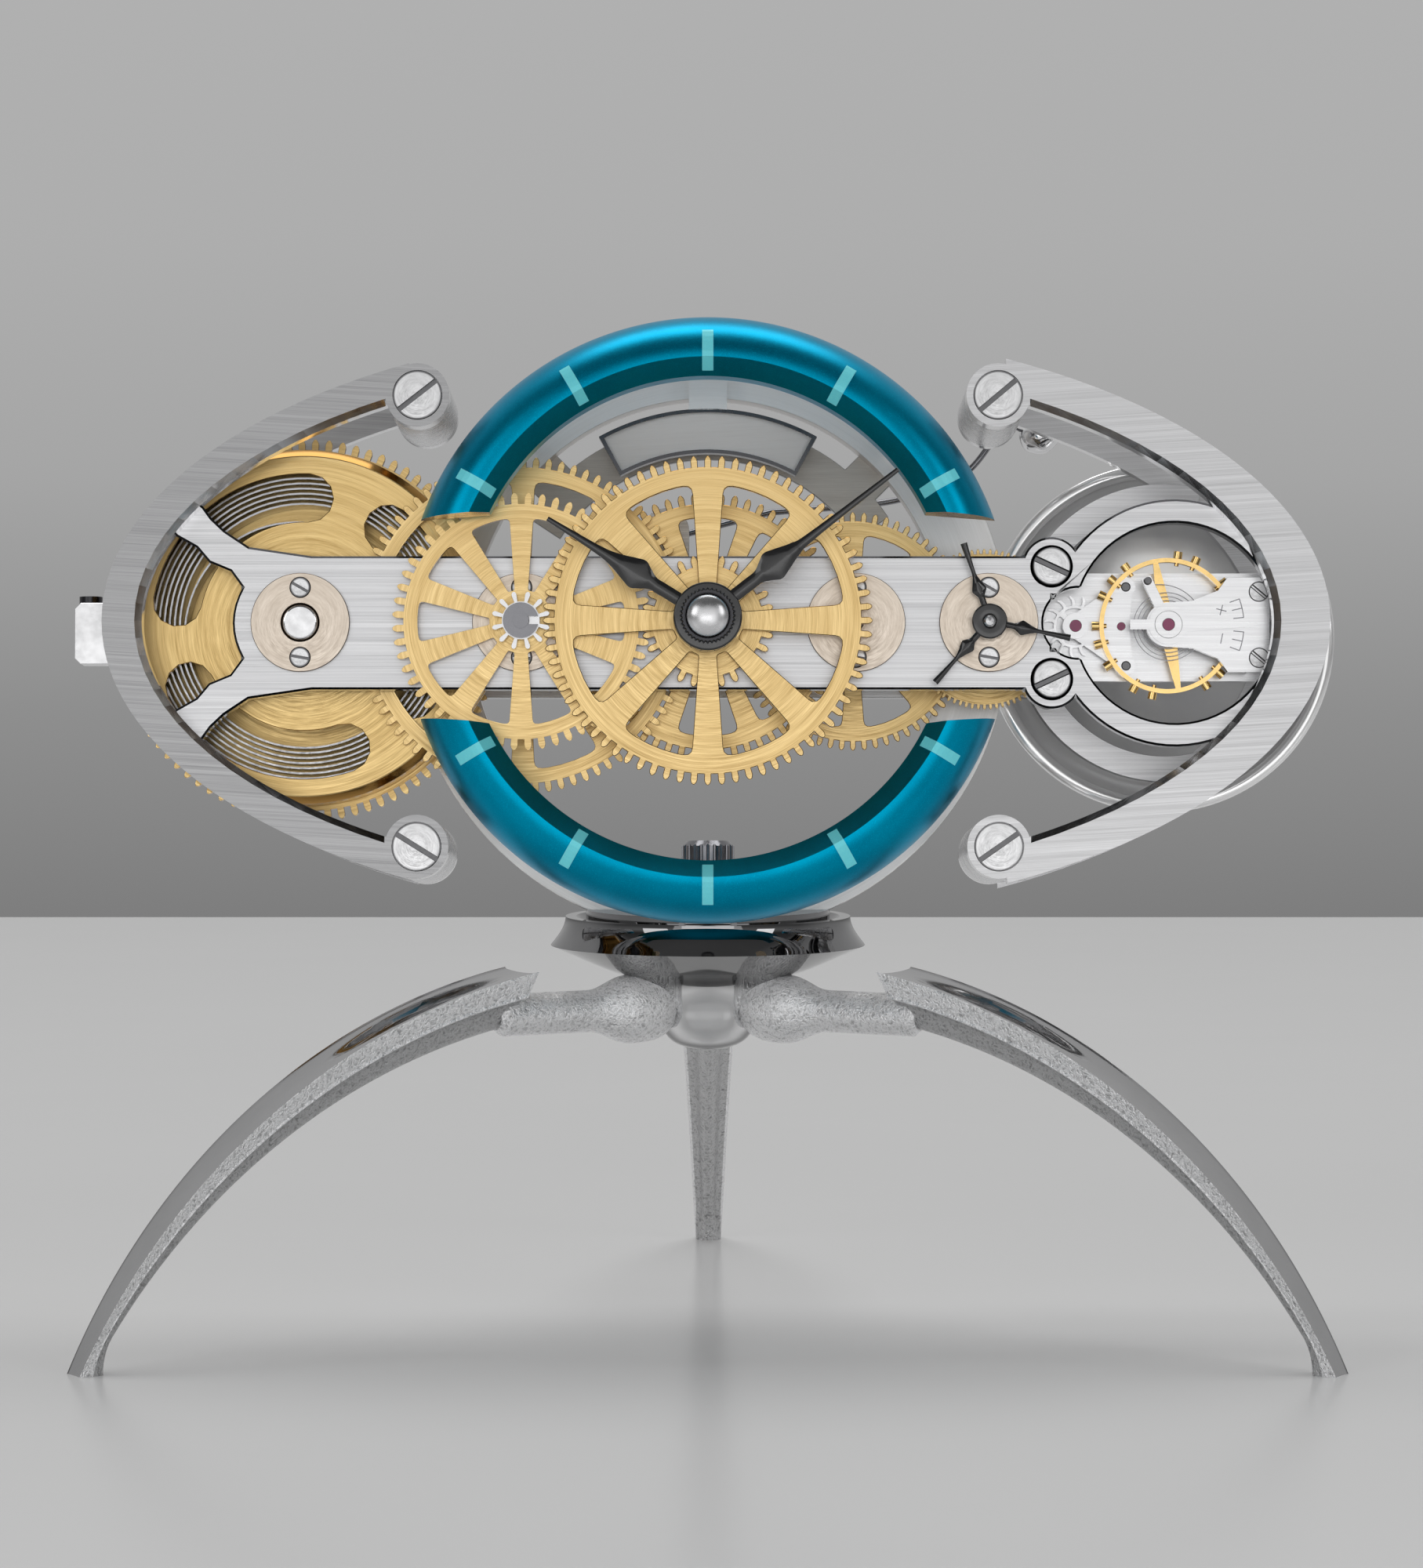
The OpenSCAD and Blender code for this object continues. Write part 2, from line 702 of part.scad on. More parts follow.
module minute_pinion() {
  color(steel) difference() {
    union() {
      pinion(minute_leaves, motion_mod, 0, hour_y, hour_y + wheel_t, first_x);
      rod(minute_pipe_r, hour_y + wheel_t, cannon_y + wheel_t, first_x);
    }
    hole(minute_stud_r + fit, hour_y, cannon_y + wheel_t, first_x);
  }
}

clip_t = 0.4;
clip_gap_share = 0.5;
// stud of the minute wheel with its open clip
module minute_stud() {
  end = hour_y - pass_gap - 2 * clip_t;
  color(dark) {
    shaft(end, [[minute_stud_r, cannon_y + wheel_t + pass_gap], [minute_flange_r, -cover_t],
      [minute_stud_r, bridge_t / 4]], first_x);
    difference() {
      tube(minute_flange_r, minute_stud_r, end + clip_t, end + 2 * clip_t, first_x);
      translate([first_x, end, -minute_stud_r * clip_gap_share])
        cube([minute_flange_r + over, 2 * clip_t + over, 2 * minute_stud_r * clip_gap_share]);
    }
  }
}

// upper edge of the fork, out and back to the hollow
fork_shares = [[0.09, 0.569], [-0.407, 0.648], [-0.599, 0.786], [-0.703, 0.893], [-0.872, 1.145],
  [-1.128, 0.83], [-0.82, 0.642], [-0.721, 0.516], [-0.552, 0.44], [-0.459, 0.302]];
module fork_flat() {
  upper = [for (s = fork_shares) [barrel_x + s[0] * fork_reach, s[1] * fork_hh]];
  angle = asin(upper[len(upper) - 1][1] / fork_hollow_r);
  hollow = [for (i = [1:7]) [barrel_x, 0] + polar(fork_hollow_r, 180 - angle + 2 * angle * i / 8)];
  polygon(concat([[upper[0][0], bar_hh]], [for (i = [1:len(upper) - 1]) upper[i]], hollow,
    flip([for (i = [1:len(upper) - 1]) upper[i]]), [[upper[0][0], -bar_hh]]));
}

// the bar with its fork, up to the given right end
module bar_flat(right_x) {
  fork_flat();
  left = barrel_x + fork_shares[0][0] * fork_reach - over;
  translate([left, -bar_hh]) square([right_x - left, 2 * bar_hh]);
}

module ring_flat(r_out, r_in) {
  difference() {
    circle(r_out, $fn = 120);
    circle(r_in, $fn = 120);
  }
}

module bearings(y0, y1) {
  rod(barrel_end_r + fit, y0, y1, barrel_x);
  rod(train_pivot_r + fit, y0, y1, first_x);
  rod(arbor_r + fit, y0, y1);
  rod(train_pivot_r + fit, y0, y1, third_x);
  rod(seconds_pivot_r + fit, y0, y1, seconds_x);
}

module cover_screw_holes(y0, y1) {
  for (x = arbor_xs, side = [-1, 1])
    rod(small_shank_r + play, y0, y1, x, side * cover_screw_at, small_fn);
}

module front_bridge() {
  color(brushed) difference() {
    union() {
      plate(0, bridge_t) bar_flat(eye_boss_x);
      tube(eye_r + eye_w, eye_r, 0, bridge_t, eye_x);
      for (side = [-1, 1]) rod(eye_boss_r, 0, bridge_t, eye_boss_x, side * eye_boss_z);
    }
    hole(recess_r, 0, bridge_t, escape_x);
    hole(eye_r, 0, bridge_t, eye_x);
    for (side = [-1, 1]) {
      rod(mid_head_r + play, -over, mid_head_r / 4, eye_boss_x, side * eye_boss_z);
      hole(mid_shank_r + play, 0, bridge_t, eye_boss_x, side * eye_boss_z);
    }
    bearings(-over, bridge_t + over);
    rod(minute_stud_r + play, -over, bridge_t / 4 + play, first_x);
    cover_screw_holes(-over, bridge_t * 0.7);
  }
}

arch_steps = 48;
// half an ellipse from the upper to the lower end of an arch
function arch_edge(side, a, b, shift) =
  let (t = acos((pillar_x + pillar_r / 4 - side * shift) / a))
  [for (i = [0:arch_steps]) [shift + side * a * cos(t - 2 * t * i / arch_steps),
    b * sin(t - 2 * t * i / arch_steps)]];
function backwards(p) = [for (i = [len(p) - 1:-1:0]) p[i]];
module arch_flat(side) {
  outer = arch_edge(side, arch_a, arch_b, arch_shift);
  inner = arch_edge(side, arch_in_a, arch_in_b, 0);
  polygon(side < 0 ? concat(outer, backwards(inner)) : concat(inner, backwards(outer)));
  for (up = [-1, 1]) translate([side * pillar_x, up * pillar_z]) circle(pillar_r);
}

module inner_ellipse(grown) {
  scale([arch_in_a + grown, arch_in_b + grown]) circle(1, $fn = 96);
}

module front_arch(side) {
  difference() {
    plate(-arch_t, 0) arch_flat(side);
    intersection() {
      hull() {
        plate(-arch_t - over, -arch_t) inner_ellipse(arch_bevel);
        plate(-arch_t + arch_bevel, -arch_t + arch_bevel + over) inner_ellipse(0);
      }
      translate([side > 0 ? pillar_x + pillar_r : -arch_a * 2, -arch_t * 2, -arch_b])
        cube([arch_a * 2 - pillar_x - pillar_r, arch_t * 3, 2 * arch_b]);
    }
    for (up = [-1, 1]) {
      rod(big_head_r + 2 * play, -arch_t - over, -arch_t + big_head_t, side * pillar_x, up * pillar_z);
      hole(big_shank_r + play, -arch_t, 0, side * pillar_x, up * pillar_z);
    }
  }
}

module rear_arch(side) {
  difference() {
    plate(rear_back, rear_back + rear_arch_t) arch_flat(side);
    for (up = [-1, 1])
      hole(big_shank_r + play, rear_back, rear_back + rear_arch_t, side * pillar_x, up * pillar_z);
  }
}

module front_left_arch() {
  color(brushed) front_arch(-1);
}

module front_right_arch() {
  color(brushed) front_arch(1);
}

module rear_left_arch() {
  color(brushed) rear_arch(-1);
}

module rear_right_arch() {
  color(brushed) rear_arch(1);
}

module frame_pillars() {
  color(steel)
    for (side = [-1, 1], up = [-1, 1]) translate([side * pillar_x, 0, up * pillar_z]) difference() {
      rod(pillar_r, 0, rear_back);
      rod(big_shank_r + play, -over, big_shank_l + play);
      rod(big_shank_r + play, rear_back - big_shank_l - play, rear_back + over);
    }
}

slot_turns = [38, -32, 40, 35];
module frame_screws() {
  color(bright) for (k = [0:3]) {
    side = k < 2 ? -1 : 1;
    up = k % 2 == 0 ? 1 : -1;
    screw(side * pillar_x, up * pillar_z, -arch_t, big_head_r, big_head_t, big_shank_r,
      arch_t - big_head_t + big_shank_l, big_slot, -slot_turns[k]);
    from_rear(rear_back + rear_arch_t + big_head_t)
      screw(side * pillar_x, up * pillar_z, 0, big_head_r, big_head_t, big_shank_r,
        rear_arch_t + big_shank_l, big_slot, slot_turns[k]);
  }
}

module cover(x, bore, y0, y1, front) {
  sink_y = front ? y0 : y1 - small_head_t / 2;
  difference() {
    tube(cover_r, bore, y0, y1, x);
    for (side = [-1, 1]) {
      hole(small_shank_r + play, y0, y1, x, side * cover_screw_at, small_fn);
      rod(small_head_r + play, sink_y - (front ? over : 0), sink_y + small_head_t / 2 + (front ? 0 : over),
        x, side * cover_screw_at, small_fn);
    }
  }
}

cover_bores = [barrel_end_r + 3 * fit, minute_stud_r + play, arbor_r + 2 * fit,
  train_pivot_r + 2 * fit, seconds_pivot_r + 2 * fit];
rear_cover_bores = [barrel_end_r + 3 * fit, train_pivot_r + 2 * fit, arbor_r + 2 * fit,
  train_pivot_r + 2 * fit, seconds_pivot_r + 2 * fit];
module bearing_covers() {
  color([0.7, 0.6, 0.5]) for (k = [0:4]) {
    cover(arbor_xs[k], cover_bores[k], -cover_t, 0, true);
    cover(arbor_xs[k], rear_cover_bores[k], rear_back, rear_back + cover_t, false);
  }
}

module cover_screws() {
  shank = cover_t - small_head_t / 2 + bridge_t * 0.6;
  color(bright) for (x = arbor_xs, side = [-1, 1]) {
    small_screw(x, side * cover_screw_at, -cover_t - small_head_t / 2, shank, 20 + 10 * side);
    from_rear(rear_back + cover_t + small_head_t / 2)
      small_screw(x, side * cover_screw_at, 0, shank, 30 - 15 * side);
  }
}

finger_half = 105;
hammer_lug_r = 3.2;
module rear_bridge() {
  color(brushed) difference() {
    union() {
      plate(rear_y, rear_back) bar_flat(eye_x - finger_r - finger_w / 3);
      plate(rear_y, rear_back) translate([eye_x, 0])
        sector(finger_r + finger_w, finger_r, 180 - finger_half, 180 + finger_half, 60);
      plate(rear_y, rear_back) translate([eye_x - finger_r - finger_w / 2, -bell_arm_hw])
        square([bell_x - eye_x + finger_r + finger_w / 2, 2 * bell_arm_hw]);
      rod(bell_arm_hw + bell_post_r / 2, rear_y, rear_back, bell_x);
      plate(rear_y, rear_back) hull()
        for (z = [bar_hh / 2, hammer_z]) translate([-hammer_x, z]) circle(hammer_lug_r, $fn = small_fn);
    }
    bearings(rear_y - over, rear_back + over);
    hole(bell_post_r / 2 + play, rear_y, rear_back, bell_x);
    hole(hammer_post_r + play, rear_y, rear_back, -hammer_x, hammer_z);
    cover_screw_holes(rear_back - bridge_t * 0.7, rear_back + over);
  }
}

module rear_ring() {
  color(brushed) difference() {
    tube(ring_r, ring_in_r, rear_back, ring_back);
    translate([0, ring_mid, -ring_r - over])
      cylinder(r = knob_shank_r + play, h = ring_r - ring_in_r + 2 * over + ring_in_r / 8);
    rod(cover_r + pass_gap, rear_back - over, rear_back + cover_t + small_head_t / 2 + pass_gap, seconds_x);
  }
}

module sector(r_out, r_in, a0, a1, n = 24) {
  polygon(concat(arc(r_out, a0, a1, n), arc(r_in, a1, a0, n)));
}

tab_at = 45;
module rear_plate() {
  color(dark) plate(ring_back, ring_back + rear_plate_t) {
    sector(rear_plate_r, rear_plate_in_r, rear_plate_from, 180 - rear_plate_from, 40);
    for (a = [tab_at, 180 - tab_at])
      rotate(a) translate([rear_plate_in_r + tab_w / 2, -tab_w / 2])
        square([ring_in_r + stem_lap - rear_plate_in_r - tab_w / 2, tab_w]);
  }
}

module plaque() {
  edge_angle = plaque_edge / plaque_r * 180 / PI;
  color(brushed) difference() {
    union() {
      plate(rear_back - plaque_t, rear_back)
        sector(plaque_r, plaque_in_r, 90 - plaque_half, 90 + plaque_half);
      plate(rear_back - plaque_t, rear_back) translate([-stem_w / 2, plaque_r - plaque_edge])
        square([stem_w, ring_in_r + stem_lap - plaque_r + plaque_edge]);
    }
    plate(rear_back - plaque_t - over, rear_back - plaque_t + plaque_sink)
      sector(plaque_r - plaque_edge, plaque_in_r + plaque_edge, 90 - plaque_half + edge_angle,
        90 + plaque_half - edge_angle);
  }
}

module barrel_drum() {
  color(brass) {
    wheel(great_teeth, great_mod, wheel_rim, train_hub_r, 0, spoke_w, 0, 0, barrel_end_r + fit, great_y,
      great_t, barrel_x);
    tube(drum_r, drum_r - drum_wall, lid_back, great_y, barrel_x);
  }
}

module barrel_cover() {
  color(brass) difference() {
    turned([[barrel_end_r + fit, drum_y], [drum_r - lid_bevel, drum_y], [drum_r, drum_y + lid_bevel],
      [drum_r, lid_back], [barrel_end_r + fit, lid_back]], barrel_x);
    for (k = [0:2]) {
      mid = (slot_in_r + slot_out_r) / 2;
      half = (slot_out_r - slot_in_r) / 2;
      round_angle = asin(half / mid);
      from = web_angle + k * 120 + web_half + round_angle;
      to = web_angle + (k + 1) * 120 - web_half - round_angle;
      plate(drum_y - over, lid_back + over) translate([barrel_x, 0]) polygon(concat(
        arc(slot_out_r, from, to, 20),
        [for (i = [1:5]) polar(mid, to) + polar(half, to + i * 30)],
        arc(slot_in_r, to, from, 20),
        [for (i = [1:5]) polar(mid, from) + polar(half, from + 180 + i * 30)]));
    }
  }
}

spring_pitch = spring_t + spring_gap;
spring_out_r = drum_r - drum_wall - spring_t / 2 - pass_gap / 3;
spring_in_r = barrel_core_r + pass_gap + spring_t / 2;
pack_turns = (spring_out_r - spring_pack_r) / spring_pitch;
lead_turns = 1.5;
spring_steps = 20;
// middle line of the mainspring: a loose lead, then the packed coils
function spring_mid(s) = s < lead_turns
  ? spring_in_r + (spring_pack_r - spring_in_r) * s / lead_turns
  : spring_pack_r + (s - lead_turns) * spring_pitch;
function spring_side(off) = [for (i = [0:floor((lead_turns + pack_turns) * spring_steps)])
  polar(spring_mid(i / spring_steps) + off, i * 360 / spring_steps)];
// the smallest clear space between two neighbouring coils
inner_line = spring_side(-spring_t / 2);
outer_line = spring_side(spring_t / 2);
spring_least = min([for (i = [0:len(inner_line) - 1 - spring_steps])
  norm(inner_line[i + spring_steps]) - norm(outer_line[i])]) * cos(180 / spring_steps);
echo("least gap between mainspring coils", spring_least);

module mainspring() {
  color([0.5, 0.5, 0.53]) plate(lid_back + pass_gap, great_y - pass_gap)
    translate([barrel_x, 0]) polygon(concat(outer_line, backwards(inner_line)));
}

ratchet_y = rear_back + cover_t + pass_gap;
ratchet_hook_share = 0.88;
barrel_proud = 0.25;
module barrel_arbor() {
  end = barrel_end_r * 0.12;
  color(bright) {
    turned([[0, -cover_t - barrel_proud], [barrel_end_r - end, -cover_t - barrel_proud],
      [barrel_end_r, -cover_t - barrel_proud + end], [barrel_end_r, lid_back + pass_gap],
      [barrel_core_r, lid_back + pass_gap], [barrel_core_r, great_y - pass_gap],
      [barrel_end_r, great_y - pass_gap], [barrel_end_r, ratchet_y], [0, ratchet_y]], barrel_x);
    plate(ratchet_y, ratchet_y + ratchet_t)
      translate([barrel_x, 0]) polygon([for (k = [0:ratchet_teeth - 1], i = [0, 1])
        polar(i == 0 ? ratchet_r : ratchet_r * ratchet_hook_share,
          (k + 0.06 * i) * 360 / ratchet_teeth)]);
    plate(ratchet_y + ratchet_t, ratchet_y + ratchet_t + square_l)
      translate([barrel_x - square_hw, -square_hw]) square(2 * square_hw);
  }
}

click_x = 10.5;
click_z = 4.5;
click_hub_r = 1.7;
click_tip_hw = 0.5;
module click() {
  pivot = [barrel_x + click_x, click_z];
  tip = [barrel_x, 0] + polar(ratchet_r + pass_gap + click_tip_hw, atan2(click_z, click_x) * 0.2);
  color(steel) {
    difference() {
      plate(ratchet_y, ratchet_y + ratchet_t) hull() {
        translate(pivot) circle(click_hub_r, $fn = small_fn);
        translate(tip) circle(click_tip_hw, $fn = small_fn);
      }
      hole(small_shank_r + play, rear_back, ratchet_y + ratchet_t, pivot[0], pivot[1], small_fn);
    }
    tube(click_hub_r - play, small_shank_r + play, rear_back, ratchet_y, pivot[0], pivot[1]);
    from_rear(ratchet_y + ratchet_t + small_head_t)
      small_screw(pivot[0], pivot[1], 0, ratchet_t + ratchet_y - rear_back, 20);
  }
}

collet_t = 0.9;
collet_share = 0.62;
// an arbor between the bridges, with a collet against its wheel
module train_arbor(x, front, pivot_r, collet_y0, collet_y1) {
  shaft(front, [[pivot_r, bridge_t + pass_gap], [train_arbor_r, rear_y - pass_gap], [pivot_r, rear_back]], x);
  tube(train_hub_r * collet_share, train_arbor_r - over, collet_y0, collet_y1, x);
}

module first_wheel() {
  color(brass)
    wheel(first_teeth, first_mod, wheel_rim, train_hub_r, 10, small_spoke_w, 0, 90, train_arbor_r + play,
      first_y, wheel_t, first_x);
}

leaf_overlap = 0.5;
module first_arbor() {
  color(steel) {
    train_arbor(first_x, bridge_t / 4 + pass_gap, train_pivot_r, first_y + wheel_t,
      first_y + wheel_t + collet_t);
    pinion(first_leaves, great_mod, 180, great_y - leaf_overlap, great_back + leaf_overlap, first_x);
  }
}

module centre_wheel() {
  color(brass)
    wheel(centre_teeth, centre_mod, wheel_rim, train_hub_r, 8, small_spoke_w, 0, 67.5, arbor_r + play,
      centre_y, wheel_t, 0);
}

cam_t = 1.2;
cam_low_share = 0.6;
// centre arbor with pinion, collets and the striking cam
module centre_arbor() {
  cam_y = hammer_y - cam_t / 2;
  color(steel) {
    rod(arbor_r, -minute_front - nut_ring_t / 2, hammer_y + cam_t);
    rod(train_hub_r * collet_share, centre_y + wheel_t, centre_y + wheel_t + collet_t);
    rod(train_hub_r * collet_share, rear_y - pass_gap - collet_t, rear_y - pass_gap);
    pinion(centre_leaves, first_mod, 180, first_y - leaf_overlap, first_y + wheel_t + leaf_overlap, 0);
    plate(cam_y, cam_y + cam_t)
      polygon([for (i = [0:35]) polar(cam_r * (cam_low_share + (1 - cam_low_share) * i / 35), -i * 10)]);
  }
}

module third_wheel() {
  color(brass)
    wheel(third_teeth, third_mod, wheel_rim, train_hub_r, 8, small_spoke_w, 0, 90, train_arbor_r + play,
      third_y, wheel_t, third_x);
}

module third_arbor() {
  color(steel) {
    train_arbor(third_x, 0, train_pivot_r, third_y - collet_t, third_y);
    pinion(third_leaves, centre_mod, 180, centre_y - leaf_overlap, centre_y + wheel_t + leaf_overlap,
      third_x);
  }
}

module seconds_wheel() {
  color(brass) difference() {
    plate(seconds_y, seconds_y + seconds_t)
      translate([seconds_x, 0]) polygon(wheel_teeth(seconds_teeth, seconds_mod, 0, fine_tooth_shares));
    hole(train_arbor_r + play, seconds_y, seconds_y + seconds_t, seconds_x);
    for (k = [0:4])
      hole(seconds_r * 0.22, seconds_y, seconds_y + seconds_t, seconds_x + seconds_r * 0.55 * cos(k * 72),
        seconds_r * 0.55 * sin(k * 72), small_fn);
  }
}

module seconds_arbor() {
  color(steel) {
    train_arbor(seconds_x, seconds_front, seconds_pivot_r, seconds_y + seconds_t,
      seconds_y + seconds_t + collet_t);
    turned([[0, seconds_front - seconds_pivot_r / 2],
      [seconds_pivot_r * 0.7, seconds_front - seconds_pivot_r / 3], [seconds_pivot_r, seconds_front],
      [0, seconds_front]], seconds_x);
    pinion(seconds_leaves, third_mod, 180, third_y - leaf_overlap, third_y + wheel_t + leaf_overlap,
      seconds_x);
  }
}

// escape tooth: radius shares from rim to tip, angles in pitches
escape_tooth_shares = [[0, -0.3], [0.35, -0.26], [0.75, -0.13], [1, 0.1], [0.97, 0.16], [0.55, 0.02],
  [0.15, -0.02], [0, 0.08]];
module escape_wheel() {
  tooth = escape_r - escape_rim_r;
  pitch = 360 / escape_teeth;
  teeth = [for (k = [0:escape_teeth - 1], s = escape_tooth_shares)
    polar(escape_rim_r + tooth * s[0], (k + s[1]) * pitch)];
  w = jewel_r * 0.8;
  windows = [for (k = [0:3])
    window(escape_rim_r - w / 2, escape_rim_r * 0.4, 45 + k * 90, 135 + k * 90, w, w)];
  color(steel) translate([escape_x, 0, 0]) difference() {
    plate(escape_y, escape_y + escape_t) wheel_flat(teeth, windows);
    hole(2 * pivot_r + play, escape_y, escape_y + escape_t, fn = small_fn);
  }
}

bridge_y = escape_y - escape_bridge_t - pass_gap / 2;
pivot_depth = 0.9;
module escape_pinion() {
  leaf_y = seconds_y - leaf_overlap;
  color(steel) {
    shaft(bridge_y, [[pivot_r, bridge_y + escape_bridge_t + play],
      [2 * pivot_r, leaf_y + seconds_t + 2 * leaf_overlap]], escape_x);
    tube(4 * pivot_r, 2 * pivot_r, escape_y + escape_t, platform_y - pass_gap / 2, escape_x);
    pinion(escape_leaves, seconds_mod, 180, leaf_y, leaf_y + seconds_t + 2 * leaf_overlap, escape_x);
  }
}

stone_angle = 36;
roller_r = 1.3;
module pallet_fork() {
  lever = balance_x - pallet_x - roller_r + pivot_r;
  stone = polar(escape_r + pass_gap, stone_angle);
  root = stone[0] - pallet_at;
  half = [[lever * 0.72, pivot_r], [lever * 0.8, 3 * pivot_r], [lever, 3 * pivot_r], [lever, pivot_r * 1.2]];
  color(steel) {
    difference() {
      plate(escape_y, escape_y + escape_t) translate([pallet_x, 0]) {
        circle(3.4 * pivot_r, $fn = small_fn);
        polygon(concat([[0, 1.4 * pivot_r]], half, [[lever * 0.84, 0]], flip(half), [[0, -1.4 * pivot_r]]));
        for (side = [-1, 1])
          polygon([[0, side * 3 * pivot_r], [0, -side * 2 * pivot_r],
            [root + jewel_r * 0.9, side * stone[1] * 0.8], [root, side * stone[1]],
            [root + jewel_r * 0.5, side * stone[1] * 1.35]]);
      }
      hole(pivot_r, escape_y, escape_y + escape_t, pallet_x, fn = small_fn);
    }
    rod(pivot_r, bridge_y + pivot_r, platform_y + pivot_depth - play, pallet_x);
  }
}

balance_arm_t = 0.5;
arm_share = 0.16;
timing_angles = [0, 15, 37, 66, 81, 125, 140, 155, 180, 195, 214, 242, 258, 303, 318, 335];
module timing_places() {
  for (a = timing_angles)
    translate([balance_x, balance_y + balance_t / 2, 0]) rotate([0, -a, 0]) rotate([0, 90, 0]) children();
}

module balance_wheel() {
  arm_y = balance_y + balance_t - balance_arm_t - pass_gap;
  color(gold) difference() {
    union() {
      tube(balance_r, balance_r - balance_rim, balance_y, balance_y + balance_t, balance_x);
      plate(arm_y, arm_y + balance_arm_t)
        translate([balance_x, 0]) rotate(balance_arm_angle) for (turn = [0, 180]) rotate(turn)
          polygon([[0, -balance_r * arm_share], [balance_r - balance_rim / 2, -balance_rim / 2],
            [balance_r - balance_rim / 2, balance_rim / 2], [0, balance_r * arm_share]]);
    }
    hole(3 * pivot_r + play, balance_y, balance_y + balance_t, balance_x, fn = small_fn);
    timing_places() translate([0, 0, balance_r - balance_rim - over])
      cylinder(r = timing_r / 2 + play, h = balance_rim + 2 * over, $fn = 16);
  }
}

module balance_screws() {
  color(gold) timing_places() {
    translate([0, 0, balance_r + play]) difference() {
      cylinder(r = timing_r, h = timing_l, $fn = 24);
      translate([-timing_r - over, -small_slot / 4, timing_l * 0.7])
        cube([2 * (timing_r + over), small_slot / 2, timing_l]);
    }
    translate([0, 0, balance_r - balance_rim])
      cylinder(r = timing_r / 2, h = balance_rim + 2 * play, $fn = 16);
  }
}

hair_y = 5.4;
hair_w = 0.3;
module balance_staff() {
  collet_r = hair_in_r - pass_gap;
  arm_y = balance_y + balance_t - balance_arm_t - pass_gap;
  roller_y = balance_y + balance_t + play;
  color(steel) {
    shaft(cock_y + jewel_r / 2, [[pivot_r, cock_y + cock_t + 2 * play], [3 * pivot_r, platform_y - 2 * play],
      [pivot_r, platform_y + pivot_depth - play]], balance_x);
    tube(collet_r, 3 * pivot_r, hair_y - play, arm_y, balance_x);
    tube(roller_r, 3 * pivot_r, arm_y + balance_arm_t + play, roller_y, balance_x);
    rod(pivot_r / 2, roller_y, escape_y - 2 * play, balance_x - roller_r + pivot_r * 1.3, 0, 16);
  }
}

hair_steps = 20;
hair_flare_share = 0.25;
// middle line of the hairspring, with a wider end towards the stud
function hair_mid(s) = hair_in_r + hair_pitch * s
  + (s > hair_turns - hair_flare_share
    ? (stud_at - hair_in_r - hair_pitch * hair_turns - hair_stud_r - hair_t)
      * pow((s - hair_turns + hair_flare_share) / hair_flare_share, 2)
    : 0);
function hair_side(off) = [for (i = [0:hair_turns * hair_steps])
  polar(hair_mid(i / hair_steps) + off, stud_angle + (i / hair_steps - hair_turns) * 360)];
hair_stud_r = 0.5;
module hairspring() {
  color([0.35, 0.38, 0.45]) plate(hair_y, hair_y + hair_w)
    translate([balance_x, 0]) polygon(concat(hair_side(hair_t / 2), backwards(hair_side(-hair_t / 2))));
}
hair_inner = hair_side(-hair_t / 2);
hair_outer = hair_side(hair_t / 2);
hair_least = min([for (i = [0:len(hair_inner) - 1 - hair_steps])
  norm(hair_inner[i + hair_steps]) - norm(hair_outer[i])]) * cos(180 / hair_steps);
echo("least gap between hairspring coils", hair_least);

// outline of the cock: x in shares of its reach, z in shares of its foot
cock_shares = [[0.0, 0.47], [0.3, 0.5], [0.62, 0.72], [0.74, 1.0], [1.3, 1.0]];
module balance_cock() {
  reach = cock_foot_x - balance_x;
  upper = [for (s = cock_shares) [min(balance_x + s[0] * reach, cock_foot_x + cock_foot_w),
    s[1] * cock_foot_hh]];
  stud = [balance_x, 0] + polar(stud_at, stud_angle);
  color(steel) difference() {
    union() {
      rod(cock_head_r, cock_y, cock_y + cock_t, balance_x);
      tube(regulator_hole_r - fit, jewel_r, cock_y - regulator_t - play, cock_y, balance_x);
      plate(cock_y, cock_y + cock_t)
        polygon(concat(upper, flip(upper)));
      translate([cock_foot_x, cock_y, -cock_foot_hh])
        cube([cock_foot_w, platform_y - cock_y, 2 * cock_foot_hh]);
      plate(cock_y, cock_y + cock_t)
        translate([balance_x, 0]) rotate(stud_angle) translate([cock_head_r / 2, -hair_stud_r * 1.4])
          square([stud_at - cock_head_r / 2 + hair_stud_r, 2.8 * hair_stud_r]);
    }
    hole(jewel_r + play, cock_y - regulator_t, cock_y + cock_t, balance_x, fn = small_fn);
    hole(hair_stud_r + play, cock_y, cock_y + cock_t, stud[0], stud[1], small_fn);
    for (side = [-1, 1]) {
      rod(small_head_r + play, cock_y - over, cock_y + small_head_t, cock_screw_x, side * cock_screw_z,
        small_fn);
      hole(small_shank_r + play, cock_y, platform_y, cock_screw_x, side * cock_screw_z, small_fn);
    }
  }
}

regulator_hole_r = 1.9;
cock_screw_x = cock_foot_x + cock_foot_w / 2;
cock_screw_z = cock_foot_hh * 0.7;
curb_pin_r = 0.12;
curb_turn = 180;
